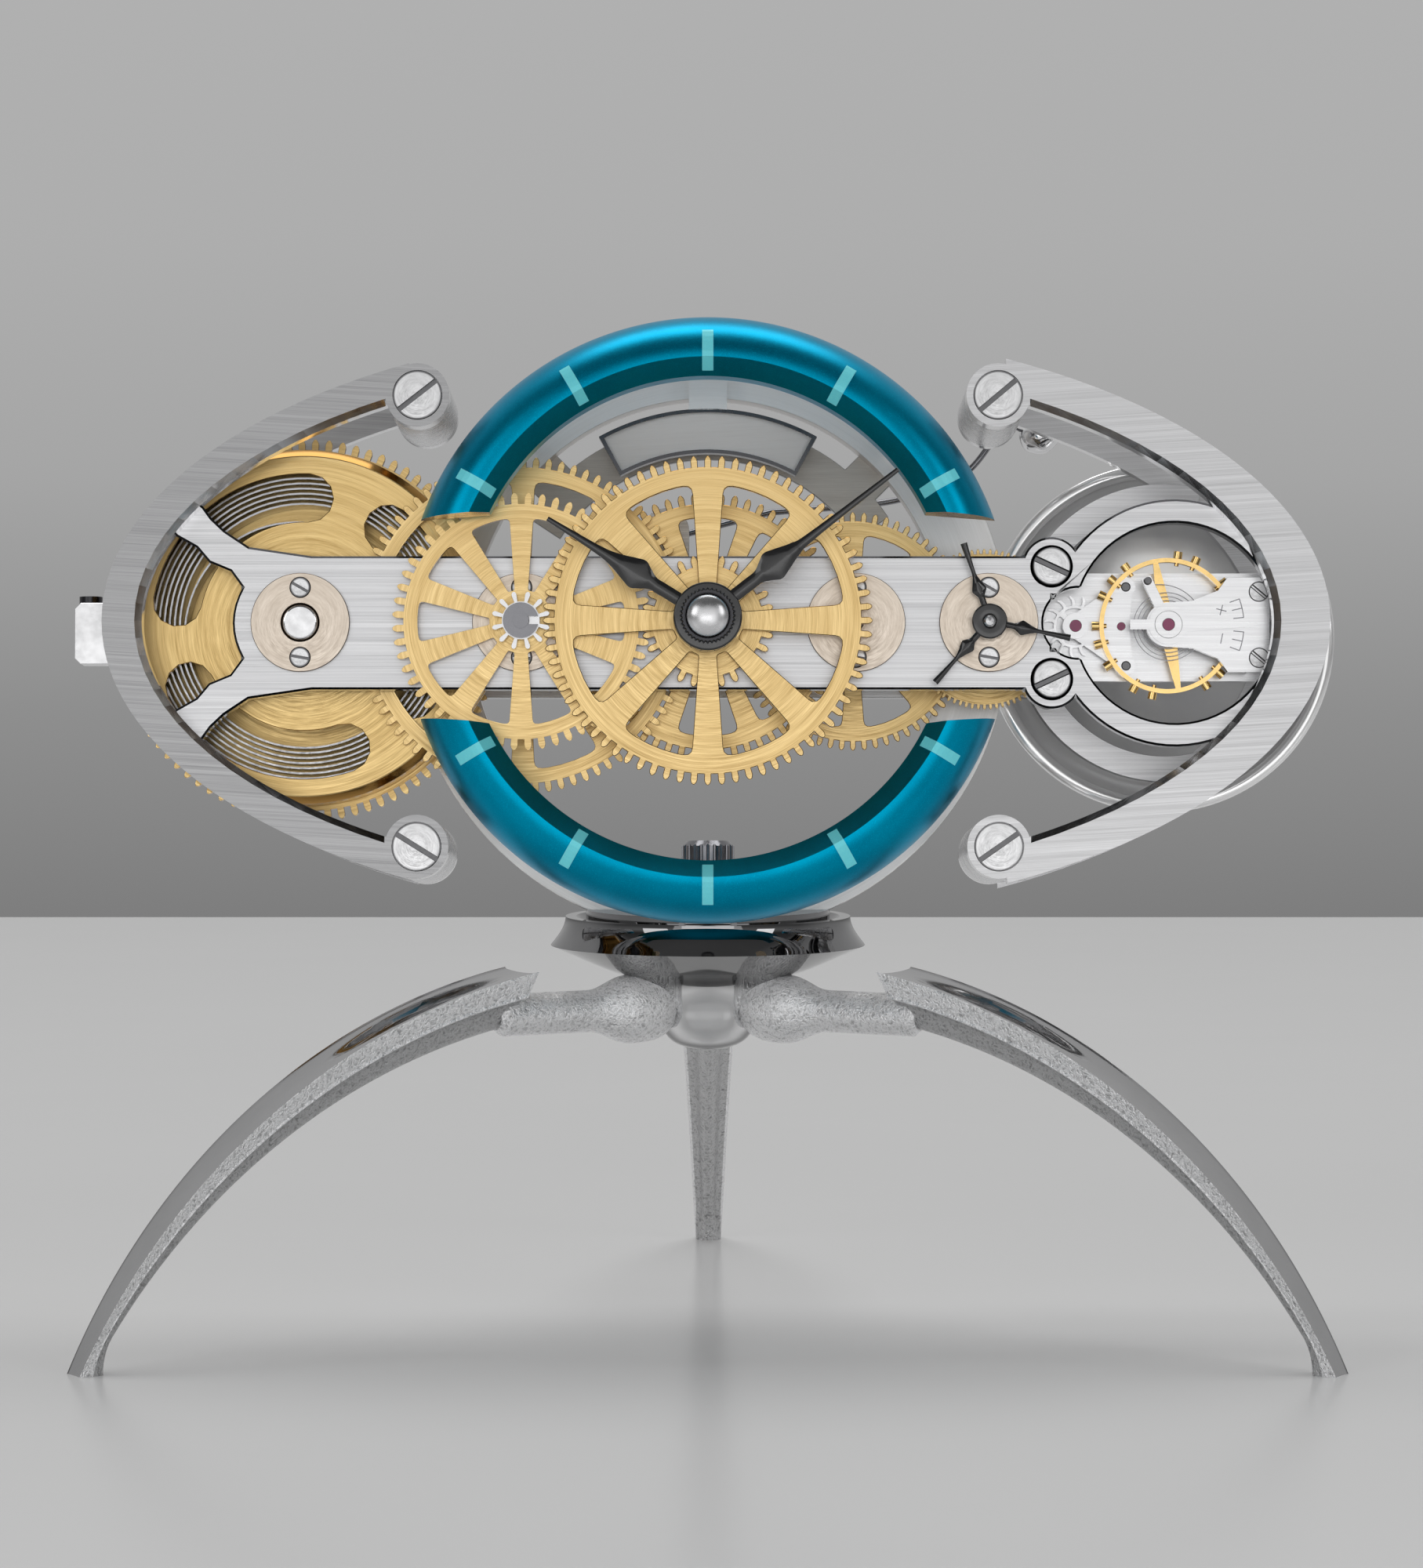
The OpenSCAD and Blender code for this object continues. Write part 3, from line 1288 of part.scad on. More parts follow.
// regulator with its pointer and two pins round the hairspring
module regulator() {
  y = cock_y - regulator_t - play;
  turn = hair_turns - (stud_angle + 360 - curb_turn) / 360;
  at = hair_mid(turn);
  color(bright) {
    plate(y, y + regulator_t) translate([balance_x, 0]) difference() {
      union() {
        circle(regulator_r, $fn = 48);
        polygon([[0, regulator_r * 0.45], [pointer_l * 0.9, regulator_r * 0.1],
          [pointer_l, 0], [pointer_l * 0.9, -regulator_r * 0.1], [0, -regulator_r * 0.45]]);
        translate([-at - 5 * curb_pin_r, -regulator_r / 4]) square([at, regulator_r / 2]);
      }
      circle(regulator_hole_r, $fn = 48);
    }
  }
  color(gold) for (side = [-1, 1])
    rod(curb_pin_r, y + regulator_t, hair_y + hair_w + curb_pin_r,
      balance_x - at + side * (hair_t + 1.6 * curb_pin_r), 0, 16);
}

module escape_bridge() {
  color(steel) difference() {
    union() {
      plate(bridge_y, bridge_y + escape_bridge_t)
        polygon([[escape_x - setting_r, 0], [escape_x - setting_r * 0.7, setting_r * 0.7],
          [escape_x, setting_r], [pallet_x + jewel_r, escape_foot_z + small_head_r],
          [pallet_x + 2 * jewel_r, escape_foot_z], [pallet_x + jewel_r * 1.4, 0],
          [pallet_x + 2 * jewel_r, -escape_foot_z], [pallet_x + jewel_r, -escape_foot_z - small_head_r],
          [escape_x, -setting_r], [escape_x - setting_r * 0.7, -setting_r * 0.7]]);
      rod(setting_r, balance_y + pass_gap, bridge_y + play, escape_x);
      for (side = [-1, 1]) rod(small_head_r, bridge_y, platform_y, escape_foot_x, side * escape_foot_z);
    }
    rod(jewel_r + play, balance_y, bridge_y + escape_bridge_t + over, escape_x, fn = small_fn);
    hole(jewel_r * 0.7 + play, bridge_y, bridge_y + escape_bridge_t, pallet_x, fn = small_fn);
    for (side = [-1, 1])
      hole(small_shank_r + play, bridge_y, platform_y, escape_foot_x, side * escape_foot_z, small_fn);
  }
}

escape_foot_x = pallet_x + jewel_r * 0.8;
// a jewel with a closed front, open to the pivot behind
module jewel(r, x, y0, y1, closed) {
  turned([[0, y0], [r, y0], [r, y1], [pivot_r + fit, y1], [pivot_r + fit, y0 + closed], [0, y0 + closed]], x);
}

module jewels() {
  color([0.55, 0.1, 0.35]) {
    jewel(jewel_r, escape_x, balance_y + pass_gap, bridge_y + escape_bridge_t,
      bridge_y - balance_y - pass_gap - play);
    jewel(jewel_r * 0.7, pallet_x, bridge_y, bridge_y + escape_bridge_t, pivot_r - play);
    jewel(jewel_r, balance_x, cock_y - regulator_t - play, cock_y + cock_t, regulator_t + jewel_r / 2);
  }
}

platform_left = 44;
module platform() {
  right = eye_x + eye_r + eye_w;
  tongue = platform_hh / 2;
  color(steel) difference() {
    union() {
      plate(platform_y, platform_back) {
        translate([platform_left, -platform_hh])
          square([cock_foot_x + cock_foot_w + over - platform_left, 2 * platform_hh]);
        translate([platform_left, -tongue]) square([right - platform_left, 2 * tongue]);
      }
      for (side = [-1, 1]) rod(mid_head_r, bridge_t, platform_back, eye_boss_x, side * eye_boss_z);
      rod(eye_w / 2, bridge_t, platform_back, right - eye_w / 2);
    }
    hole(2 * pivot_r + fit, platform_y, platform_back, escape_x, fn = small_fn);
    for (x = [pallet_x, balance_x])
      rod(pivot_r + fit, platform_y - over, platform_y + pivot_depth, x, fn = small_fn);
    for (side = [-1, 1]) {
      rod(mid_shank_r + play, bridge_t - over, platform_back, eye_boss_x, side * eye_boss_z);
      hole(small_shank_r + play, platform_y, platform_back, cock_screw_x, side * cock_screw_z, small_fn);
      hole(small_shank_r + play, platform_y, platform_back, escape_foot_x, side * escape_foot_z, small_fn);
    }
  }
}

stud_t = 0.5;
// screws of the escapement and the hairspring's stud
module platform_screws() {
  stud = [balance_x, 0] + polar(stud_at, stud_angle);
  color(bright) {
    for (side = [-1, 1]) {
      screw(eye_boss_x, side * eye_boss_z, -mid_head_r / 4, mid_head_r, mid_head_r / 2, mid_shank_r,
        platform_y - mid_head_r / 4, big_slot, 25 * side);
      small_screw(cock_screw_x, side * cock_screw_z, cock_y, platform_y - cock_y, 40);
      from_rear(platform_back + small_head_t)
        small_screw(escape_foot_x, side * escape_foot_z, 0, platform_back - bridge_y - play, 60);
    }
    rod(hair_stud_r, cock_y - stud_t, hair_y + hair_w, stud[0], stud[1], small_fn);
  }
}

bell_steps = 10;
bell_crown_r = 4.5;
// outer line of the bell from lip to crown, set back by w
function bell_line(w) = [for (i = [0:bell_steps])
  let (a = i * 90 / bell_steps)
  [bell_crown_r + (bell_r - bell_lip / 3 - bell_crown_r - w) * pow(cos(a), 0.8),
    bell_y + bell_lip + (bell_d - bell_lip - w) * sin(a)]];
module bell() {
  color(chrome)
    turned(concat([[bell_r - bell_lip, bell_y], [bell_r, bell_y], [bell_r, bell_y + bell_lip * 0.7]],
      bell_line(0), [for (w = [0, bell_wall]) [bell_post_r + play, bell_y + bell_d - w]],
      backwards(bell_line(bell_wall)), [[bell_r - bell_lip, bell_y + bell_lip * 0.7]]), bell_x);
}

// posts of bell and hammer, with spigots in the rear bridge
module rear_posts() {
  seat = bell_y + bell_d - bell_wall;
  hammer_seat = hammer_y - 2 * wire_r - pass_gap / 2;
  hammer_end = hammer_y + 2 * wire_r + pass_gap / 2;
  color(steel) {
    shaft(rear_y, [[bell_post_r / 2, rear_back], [bell_post_r * 1.5, seat],
      [bell_post_r, seat + 2 * bell_wall]], bell_x);
    tube(bell_crown_r, bell_post_r + play, seat + bell_wall, seat + 2 * bell_wall, bell_x);
    shaft(rear_y, [[hammer_post_r, rear_back], [2 * hammer_post_r, hammer_seat],
      [hammer_post_r, hammer_end], [2 * hammer_post_r, hammer_end + hammer_post_r]], -hammer_x, hammer_z);
  }
}

hammer_hub_r = 2.2;
hammer_post_r = 0.9;
// wire from hub to head in shares of the way between them
wire_shares = [[0.0, 0.0], [0.26, 0.24], [0.32, 0.27], [0.61, 0.37], [0.8, 0.63], [0.915, 1.09], [1, 0.91]];
wire_sides = 10;
// rings of a round wire along a flat path of x and z
function wire_rings(p) = [for (i = [0:len(p) - 1])
  let (d = p[min(i + 1, len(p) - 1)] - p[max(i - 1, 0)], u = [-d[1], d[0]] / norm(d) * wire_r)
  [for (k = [0:wire_sides - 1])
    let (a = k * 360 / wire_sides)
    [p[i][0] + u[0] * cos(a), hammer_y + wire_r * sin(a), p[i][1] + u[1] * cos(a)]]];

module hammer() {
  pivot = [-hammer_x, hammer_z];
  reach = [head_x + hammer_x, head_z - hammer_z];
  path = [for (s = wire_shares) pivot + [s[0] * reach[0], s[1] * reach[1]]];
  tail = polar(cam_r + pass_gap + 2 * wire_r, 112);
  color(dark) {
    difference() {
      union() {
        rod(hammer_hub_r, hammer_y - 2 * wire_r, hammer_y + 2 * wire_r, pivot[0], pivot[1]);
        loft(wire_rings(curve(path, 3)));
        loft(wire_rings([pivot, tail]));
      }
      hole(hammer_post_r + fit, hammer_y - 2 * wire_r, hammer_y + 2 * wire_r, pivot[0], pivot[1]);
    }
  }
  color(brushed)
    translate([head_x, hammer_y, head_z]) rotate([0, 68, 0]) rotate_extrude($fn = 32)
      polygon([[0, -hammer_r], [hammer_r * 0.62, -hammer_r * 0.78], [hammer_r * 0.97, -hammer_r * 0.2],
        [hammer_r * 0.93, hammer_r * 0.35], [hammer_r * 0.6, hammer_r], [hammer_r * 0.25, hammer_r * 1.5],
        [0, hammer_r * 1.7]]);
}

block_out = bell_x + bell_r;
block_in = 80;
block_edge = 0.8;
module side_block() {
  y0 = rear_back - block_lap;
  y1 = y0 + block_d;
  color(chrome) difference() {
    plate(y0, y1) polygon([[-block_out, -block_hh + block_edge], [-block_out, block_hh - block_edge],
      [-block_out + block_edge, block_hh], [-block_in, block_hh],
      [-block_in, -block_hh], [-block_out + block_edge, -block_hh]]);
    plate(rear_back, y1 + over) polygon(arch_edge(-1, arch_a, arch_b, arch_shift));
    translate([-block_screw_x, (y0 + y1) / 2, block_hh / 2])
      cylinder(r = small_shank_r + play, h = block_hh, $fn = small_fn);
  }
}

block_screw_r = 1.6;
block_screw_x = block_out - block_screw_r - block_edge / 2;
block_screw_t = 1.0;
module side_block_screw() {
  color(black) translate([-block_screw_x, rear_back - block_lap + block_d / 2, block_hh]) {
    difference() {
      cylinder(r = block_screw_r, h = block_screw_t, $fn = small_fn);
      translate([-block_screw_r - over, -small_slot / 2, block_screw_t / 2])
        cube([2 * (block_screw_r + over), small_slot, block_screw_t]);
    }
    translate([0, 0, -block_hh / 2]) cylinder(r = small_shank_r, h = block_hh / 2, $fn = small_fn);
  }
}

knob_neck_share = 0.78;
module clamp_screw() {
  seat = -sqrt(pow(ring_in_r, 2) - pow(knob_r * knob_neck_share, 2));
  color(dark) translate([0, ring_mid, 0]) {
    difference() {
      translate([0, 0, seat]) rotate_extrude()
        polygon([[0, 0], [knob_r * knob_neck_share, 0], [knob_r * knob_neck_share, knob_h * 0.2],
          [knob_r, knob_h * 0.25], [knob_r, knob_h * 0.82], [knob_r * knob_neck_share, knob_h],
          [0, knob_h]]);
      for (k = [0:knob_flutes - 1])
        rotate(k * 360 / knob_flutes) translate([knob_r, 0, seat + knob_h * 0.22])
          cylinder(r = PI * knob_r / knob_flutes / 2, h = knob_h, $fn = 12);
    }
    translate([0, 0, -ring_r - spigot_l])
      cylinder(r = knob_shank_r, h = ring_r + spigot_l + seat, $fn = small_fn);
  }
}

// the stand's axis, so that its feet lie evenly about the origin
stand_y = -(foot_out * (1 - sin(leg_turn)) - foot_w / 2 * cos(leg_turn)) / 2;
ring_mid = rear_back + ring_t / 2;
leg_angles = [-leg_turn, 180 + leg_turn, 90];
saddle_low_z = arbor_h - ring_mid * sin(tilt) - ring_r * cos(tilt) - saddle_floor;

module saddle() {
  color(bright) difference() {
    translate([0, stand_y, 0]) {
      translate([0, 0, saddle_low_z]) cylinder(r = saddle_r, h = saddle_top_z - saddle_low_z);
      translate([0, 0, saddle_low_z - spigot_l]) cylinder(r = spigot_r, h = spigot_l);
    }
    movement() {
      rod(ring_r + play, rear_back - play, ring_back + play, fn = 120);
      translate([0, ring_mid, -ring_r - spigot_l - play])
        cylinder(r = knob_shank_r + play, h = spigot_l + 2 * play + over, $fn = small_fn);
    }
  }
}

// underside of the hub: shares of radius and of height
hub_shares = [[0, 0], [0.12, 0.012], [0.22, 0.07], [0.285, 0.175], [0.315, 0.32], [0.335, 0.48],
  [0.365, 0.63], [0.43, 0.76], [0.53, 0.845], [0.68, 0.905], [0.84, 0.95], [1, 1]];
module hub() {
  under = curve([for (s = hub_shares) [s[0] * dish_low_r, hub_low_z + s[1] * (dish_low_z - hub_low_z)]], 3);
  flank = [for (i = [1:4]) [dish_low_r - (dish_low_r - dish_top_r) * sin(i * 90 / 4),
    dish_low_z + (dish_top_z - dish_low_z) * i / 4]];
  color(chrome) difference() {
    translate([0, stand_y, 0])
      rotate_extrude() polygon(concat([for (p = under) [max(p[0], 0), p[1]]], flank,
        [[dish_in_r, dish_top_z], [saddle_r + play, dish_top_z - (dish_in_r - saddle_r)],
        [saddle_r + play, saddle_low_z], [spigot_r + play, saddle_low_z],
        [spigot_r + play, saddle_low_z - spigot_l], [0, saddle_low_z - spigot_l]]));
    for (a = leg_angles) leg_place(a) translate([0, 0, socket_z]) rotate([0, 90, 0])
      rotate_extrude() polygon(concat([[0, leg_pin_in - play]], root_line(play), [[0, arm_end]]));
    movement() translate([0, ring_mid, -ring_r - spigot_l - 2 * play])
      cylinder(r = knob_shank_r + play, h = spigot_l, $fn = small_fn);
  }
}

module leg_place(a) {
  translate([0, stand_y, 0]) rotate(a) children();
}

root_half = 6.6;
root_in = 6.9;
root_steps = 12;
arm_end = 34;
// pin, swelling root and straight arm of a leg, grown by g: [radius, distance from the axis]
function root_line(g) = concat([[leg_pin_r + g, leg_pin_in - g], [leg_pin_r + g, root_in - g]],
  [for (i = [0:root_steps])
    let (s = root_in + (root_at + root_half - root_in) * i / root_steps,
      inward = s < root_at ? (root_at - s) / (root_at - root_in) : 0,
      outward = s > root_at ? (s - root_at) / root_half : 0)
    [g + (s < root_at ? leg_pin_r + (root_r - leg_pin_r) * sqrt(1 - pow(inward, 2.6) * 0.8)
      : arm_r + (root_r - arm_r) * (1 + cos(180 * outward)) / 2), s]],
  [[arm_r + g, arm_end - arm_r / 2], [arm_r * 0.7 + g, arm_end - arm_r / 8]]);
root_sides = 28;

// point at the share t of an arc of radius rad from p to q, bulging outwards
function bow(p, q, rad, t) =
  let (d = q - p, half = norm(d) / 2, h = sqrt(rad * rad - half * half),
    c = (p + q) / 2 + [d[1], -d[0]] / (2 * half) * h,
    a0 = atan2(p[1] - c[1], p[0] - c[0]), a1 = atan2(q[1] - c[1], q[0] - c[0]))
  c + polar(rad, a0 + (a1 - a0) * t);

// section of a blade: width and depth shares from its top to its keel
blade_shares = [[1, 0], [0.98, 0.14], [0.66, 0.3], [0.4, 0.6], [0.24, 0.92], [0, 1],
  [-0.24, 0.92], [-0.4, 0.6], [-0.66, 0.3], [-0.98, 0.14], [-1, 0], [-0.5, 0.04], [0, 0.05], [0.5, 0.04]];
foot_shares = [[1, 0], [0.995, 0.2], [0.98, 0.45], [0.94, 0.7], [0.84, 0.94], [0, 1],
  [-0.84, 0.94], [-0.94, 0.7], [-0.98, 0.45], [-0.995, 0.2], [-1, 0], [-0.5, 0.02], [0, 0.03], [0.5, 0.02]];
blade_steps = 18;
foot_from_share = 0.93;
function blade_ring(t) =
  let (out = bow([blade_top_at, blade_top_z], [foot_out, 0], blade_out_rad, t),
    low = bow([blade_low_at, blade_low_z], [foot_out - ankle_t, 0], blade_in_rad, t),
    f = max(0, (t - foot_from_share) / (1 - foot_from_share)),
    inner = low + [(foot_in - foot_out + ankle_t) * f * f, 0],
    w = foot_w + (blade_w - foot_w) * (1 - pow(t, 1.3)))
  [for (i = [0:len(blade_shares) - 1])
    let (s = blade_shares[i] + (foot_shares[i] - blade_shares[i]) * f, p = out + (inner - out) * s[1])
    [p[0], s[0] * w / 2, p[1]]];

module loft(rings) {
  n = len(rings[0]);
  last = len(rings) - 1;
  polyhedron(points = [for (r = rings) each r],
    faces = concat([[for (i = [n - 1:-1:0]) i]], [[for (i = [0:n - 1]) last * n + i]],
      [for (k = [0:last - 1], i = [0:n - 1]) [k * n + (i + 1) % n, (k + 1) * n + i, k * n + i]],
      [for (k = [0:last - 1], i = [0:n - 1])
        [k * n + (i + 1) % n, (k + 1) * n + (i + 1) % n, (k + 1) * n + i]]));
}

module legs() {
  color(brushed) for (a = leg_angles) leg_place(a) {
    loft([for (p = root_line(0)) [for (k = [0:root_sides - 1])
      [p[1], p[0] * cos(k * 360 / root_sides), socket_z - p[0] * sin(k * 360 / root_sides)]]]);
    loft([for (i = [0:blade_steps]) blade_ring(i < blade_steps - 2 ? i / blade_steps
      : foot_from_share + (1 - foot_from_share) * (i - blade_steps + 2) / 2)]);
  }
}

movement() {
  minute_hand();
  hour_hand();
  hand_nut();
  seconds_hand();
  dial_ring();
  hour_markers();
  dial_posts();
  hour_wheel();
  cannon_wheel();
  minute_wheel();
  minute_pinion();
  minute_stud();
  front_bridge();
  front_left_arch();
  front_right_arch();
  frame_pillars();
  frame_screws();
  bearing_covers();
  cover_screws();
  rear_bridge();
  rear_left_arch();
  rear_right_arch();
  rear_ring();
  rear_plate();
  plaque();
  barrel_drum();
  barrel_cover();
  mainspring();
  barrel_arbor();
  click();
  first_wheel();
  first_arbor();
  centre_wheel();
  centre_arbor();
  third_wheel();
  third_arbor();
  seconds_wheel();
  seconds_arbor();
  escape_wheel();
  escape_pinion();
  pallet_fork();
  balance_wheel();
  balance_screws();
  balance_staff();
  hairspring();
  balance_cock();
  regulator();
  escape_bridge();
  jewels();
  platform();
  platform_screws();
  bell();
  rear_posts();
  hammer();
  side_block();
  side_block_screw();
  clamp_screw();
}
saddle();
hub();
legs();
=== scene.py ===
"""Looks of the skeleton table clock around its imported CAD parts.

Lengths are written in millimetres and turned into metres when a mesh is made. Pieces of the
movement are worked out in its own frame: u to the right, v to the rear, w up, with the centre
arbor at the origin; the stand is worked out about its own upright axis.
"""
import math

import bmesh
import bpy
import numpy as np
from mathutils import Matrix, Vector


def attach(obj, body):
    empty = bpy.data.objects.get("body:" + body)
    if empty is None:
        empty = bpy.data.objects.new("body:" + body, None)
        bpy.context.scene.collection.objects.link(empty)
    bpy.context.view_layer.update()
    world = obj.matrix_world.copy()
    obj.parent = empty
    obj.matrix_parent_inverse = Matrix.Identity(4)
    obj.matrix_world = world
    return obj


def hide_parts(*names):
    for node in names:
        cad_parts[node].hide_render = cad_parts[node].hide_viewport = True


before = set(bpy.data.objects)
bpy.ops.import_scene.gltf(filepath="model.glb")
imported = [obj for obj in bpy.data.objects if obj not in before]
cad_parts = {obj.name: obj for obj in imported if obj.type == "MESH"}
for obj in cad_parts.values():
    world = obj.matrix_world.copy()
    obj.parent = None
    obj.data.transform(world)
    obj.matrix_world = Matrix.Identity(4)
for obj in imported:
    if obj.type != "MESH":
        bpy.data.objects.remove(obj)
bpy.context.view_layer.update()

MM = 0.001
TILT = math.radians(5.3)
ARBOR_HEIGHT, FACE_AHEAD = 98.65, 21.5
LEG_TURN = 30
FOOT_OUT, FOOT_IN, FOOT_WIDTH = 96.6, 92.7, 4.0
# the stand's axis lies where the front feet and the rear foot reach equally far from y = 0
STAND_Y = -(FOOT_OUT * 0.5 - FOOT_WIDTH / 2 * math.cos(math.radians(LEG_TURN))) / 2
MOVEMENT = (0.0, STAND_Y - FACE_AHEAD, ARBOR_HEIGHT)
DEPTH_AXIS = (0.0, math.cos(TILT), -math.sin(TILT))
BARREL, FIRST, CENTRE, THIRD, SECONDS, BALANCE = -55.2, -25.2, 0.0, 20.06, 38.06, 62.7
BELL_U = 63.5
HAMMER_PIVOT = (-5.8, 14.1)
# middles of the screws on the right above: (u, w)
PILLAR, EYE_SCREW, COCK_SCREW = (39.2, 30.5), (46.6, 7.65), (75.05, 4.515)
COVER_SCREW_W = 4.74


def turned(x, y, degrees):
    """A pair of coordinates turned by an angle a: (x cos a - y sin a, x sin a + y cos a)."""
    c, s = math.cos(math.radians(degrees)), math.sin(math.radians(degrees))
    return x * c - y * s, x * s + y * c


def in_movement(points):
    """Points (..., 3) of the movement in mm, leant back by the tilt, in metres."""
    u, v, w = points[..., 0], points[..., 1], points[..., 2]
    y = MOVEMENT[1] + v * math.cos(TILT) + w * math.sin(TILT)
    z = MOVEMENT[2] - v * math.sin(TILT) + w * math.cos(TILT)
    return np.stack([u, y, z], -1) * MM


def on_stand(points, turn=0.0):
    """Points (..., 3) about the stand's axis in mm, turned by an angle in degrees, in metres."""
    x, y = turned(points[..., 0], points[..., 1], turn)
    return np.stack([x, y + STAND_Y, points[..., 2]], -1) * MM


def smoothstep(x):
    """3x^2 - 2x^3, held to 0..1."""
    x = np.clip(x, 0, 1)
    return x * x * (3 - 2 * x)


def curve_through(points, count):
    """Catmull-Rom curve through points, count steps between two of them, ends doubled."""
    p = np.asarray(points, float)
    padded = np.concatenate([p[:1], p, p[-1:]])
    s = np.linspace(0, 1, count, endpoint=False)[None, :, None]
    a, b, c, d = (padded[i:len(padded) - 3 + i, None] for i in range(4))
    run = 0.5 * (2 * b + (c - a) * s + (2 * a - 5 * b + 4 * c - d) * s ** 2
                 + (3 * b - a - 3 * c + d) * s ** 3)
    return np.concatenate([run.reshape(-1, p.shape[1]), p[-1:]])


def grid_faces(rows, columns, rows_wrap, columns_wrap, start):
    """Quads between neighbouring rows and columns of a grid whose first vertex is number start."""
    i = np.arange(rows if rows_wrap else rows - 1)[:, None]
    j = np.arange(columns if columns_wrap else columns - 1)[None, :]
    below, right = (i + 1) % rows, (j + 1) % columns
    return np.stack([i * columns + j, i * columns + right, below * columns + right,
                     below * columns + j], -1).reshape(-1, 4) + start


def added(name, data):
    """A new object in the scene."""
    made = bpy.data.objects.new(name, data)
    bpy.context.scene.collection.objects.link(made)
    return made


def piece(name, sheets, body, materials, stands_for=(), sharp=40):
    """A mesh from sheets: (grid of points in metres, rows wrap, columns wrap, caps, mark).

    A mark is a material number, or one for each face. Caps is the number of the faces that close a
    wrapped sheet's first and last row, or None. Doubled points are merged, the normals turned
    outwards and edges sharper than the angle kept crisp.
    """
    points, faces, marks, start = [], [], [], 0
    for grid, rows_wrap, columns_wrap, caps, mark in sheets:
        rows, columns = grid.shape[:2]
        quads = grid_faces(rows, columns, rows_wrap, columns_wrap, start)
        points.append(grid.reshape(-1, 3))
        faces += quads.tolist()
        marks += [mark] * len(quads) if np.isscalar(mark) else np.asarray(mark).reshape(-1).tolist()
        if caps is not None:
            last = start + (rows - 1) * columns
            faces += [list(range(start, start + columns)), list(range(last, last + columns))]
            marks += [caps, caps]
        start += rows * columns
    mesh = bpy.data.meshes.new(name)
    mesh.from_pydata(np.concatenate(points).tolist(), [], faces)
    mesh.polygons.foreach_set("material_index", marks)
    work = bmesh.new()
    work.from_mesh(mesh)
    bmesh.ops.remove_doubles(work, verts=work.verts, dist=1e-7)
    bmesh.ops.recalc_face_normals(work, faces=work.faces)
    for edge in work.edges:
        edge.smooth = len(edge.link_faces) == 2 and edge.calc_face_angle() < math.radians(sharp)
    for face in work.faces:
        face.smooth = True
    work.to_mesh(mesh)
    work.free()
    for material in materials:
        mesh.materials.append(material)
    made = added(name, mesh)
    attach(made, body)
    if stands_for:
        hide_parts(*stands_for)


# shader nodes

class Shader:
    """Places shader nodes in one tree and joins them."""

    def __init__(self, tree):
        self.tree = tree

    def feed(self, node, inputs):
        """Sets a node's inputs: a socket is linked, anything else is the input's value."""
        for key, value in inputs.items():
            if isinstance(value, bpy.types.NodeSocket):
                self.tree.links.new(value, node.inputs[key])
            else:
                node.inputs[key].default_value = value

    def put(self, kind, inputs=None, **settings):
        made = self.tree.nodes.new(kind)
        for key, value in settings.items():
            setattr(made, key, value)
        self.feed(made, inputs or {})
        return made

    def math(self, operation, a, b=0.0):
        return self.put("ShaderNodeMath", {0: a, 1: b}, operation=operation).outputs[0]

    def plus(self, a, b):
        return self.math("ADD", a, b)

    def minus(self, a, b):
        return self.math("SUBTRACT", a, b)

    def times(self, a, b):
        return self.math("MULTIPLY", a, b)

    def vector(self, operation, a, b=(0, 0, 0), out=0):
        return self.put("ShaderNodeVectorMath", {0: a, 1: b}, operation=operation).outputs[out]

    def scale(self, a, factor):
        return self.put("ShaderNodeVectorMath", {0: a, "Scale": factor},
                        operation="SCALE").outputs[0]

    def rotate(self, a, angle, axis):
        return self.put("ShaderNodeVectorRotate", {"Vector": a, "Angle": angle},
                        rotation_type=axis).outputs[0]

    def parts(self, a):
        return self.put("ShaderNodeSeparateXYZ", {0: a}).outputs

    def join(self, x=0.0, y=0.0, z=0.0):
        return self.put("ShaderNodeCombineXYZ", {0: x, 1: y, 2: z}).outputs[0]

    def noise(self, at, scale=1.0, detail=3.0, roughness=0.6):
        return self.put("ShaderNodeTexNoise", {"Vector": at, "Scale": scale, "Detail": detail,
                                               "Roughness": roughness}).outputs["Fac"]

    def between(self, value, low, high, out_low=0.0, out_high=1.0, smooth=False):
        return self.put("ShaderNodeMapRange", {0: value, 1: low, 2: high, 3: out_low, 4: out_high},
                        interpolation_type="SMOOTHSTEP" if smooth else "LINEAR").outputs[0]

    def blend(self, factor, a, b):
        return self.put("ShaderNodeMix", {0: factor, 6: a, 7: b}, data_type="RGBA").outputs[2]


def group(name, inputs, outputs):
    """A new node group with float inputs: its Shader, its given sockets and its output node."""
    tree = bpy.data.node_groups.new(name, "ShaderNodeTree")
    for label, value in inputs.items():
        socket = tree.interface.new_socket(label, in_out="INPUT", socket_type="NodeSocketFloat")
        socket.default_value = value
    for label, kind in outputs.items():
        tree.interface.new_socket(label, in_out="OUTPUT", socket_type="NodeSocket" + kind)
    given, gives = tree.nodes.new("NodeGroupInput"), tree.nodes.new("NodeGroupOutput")
    return Shader(tree), given.outputs, gives


def movement_place(s):
    """Object coordinates as (u, v, w) in mm of the leant movement, and the object's own normal."""
    source = s.put("ShaderNodeTexCoord")
    place = s.put("ShaderNodeMapping", {"Vector": source.outputs["Object"],
                                        "Location": [q * MM for q in MOVEMENT],
                                        "Rotation": (-TILT, 0, 0), "Scale": (MM, MM, MM)},
                  vector_type="TEXTURE").outputs[0]
    return place, source.outputs["Normal"]


def object_place(s):
    """Object coordinates in mm."""
    return s.scale(s.put("ShaderNodeTexCoord").outputs["Object"], 1 / MM)


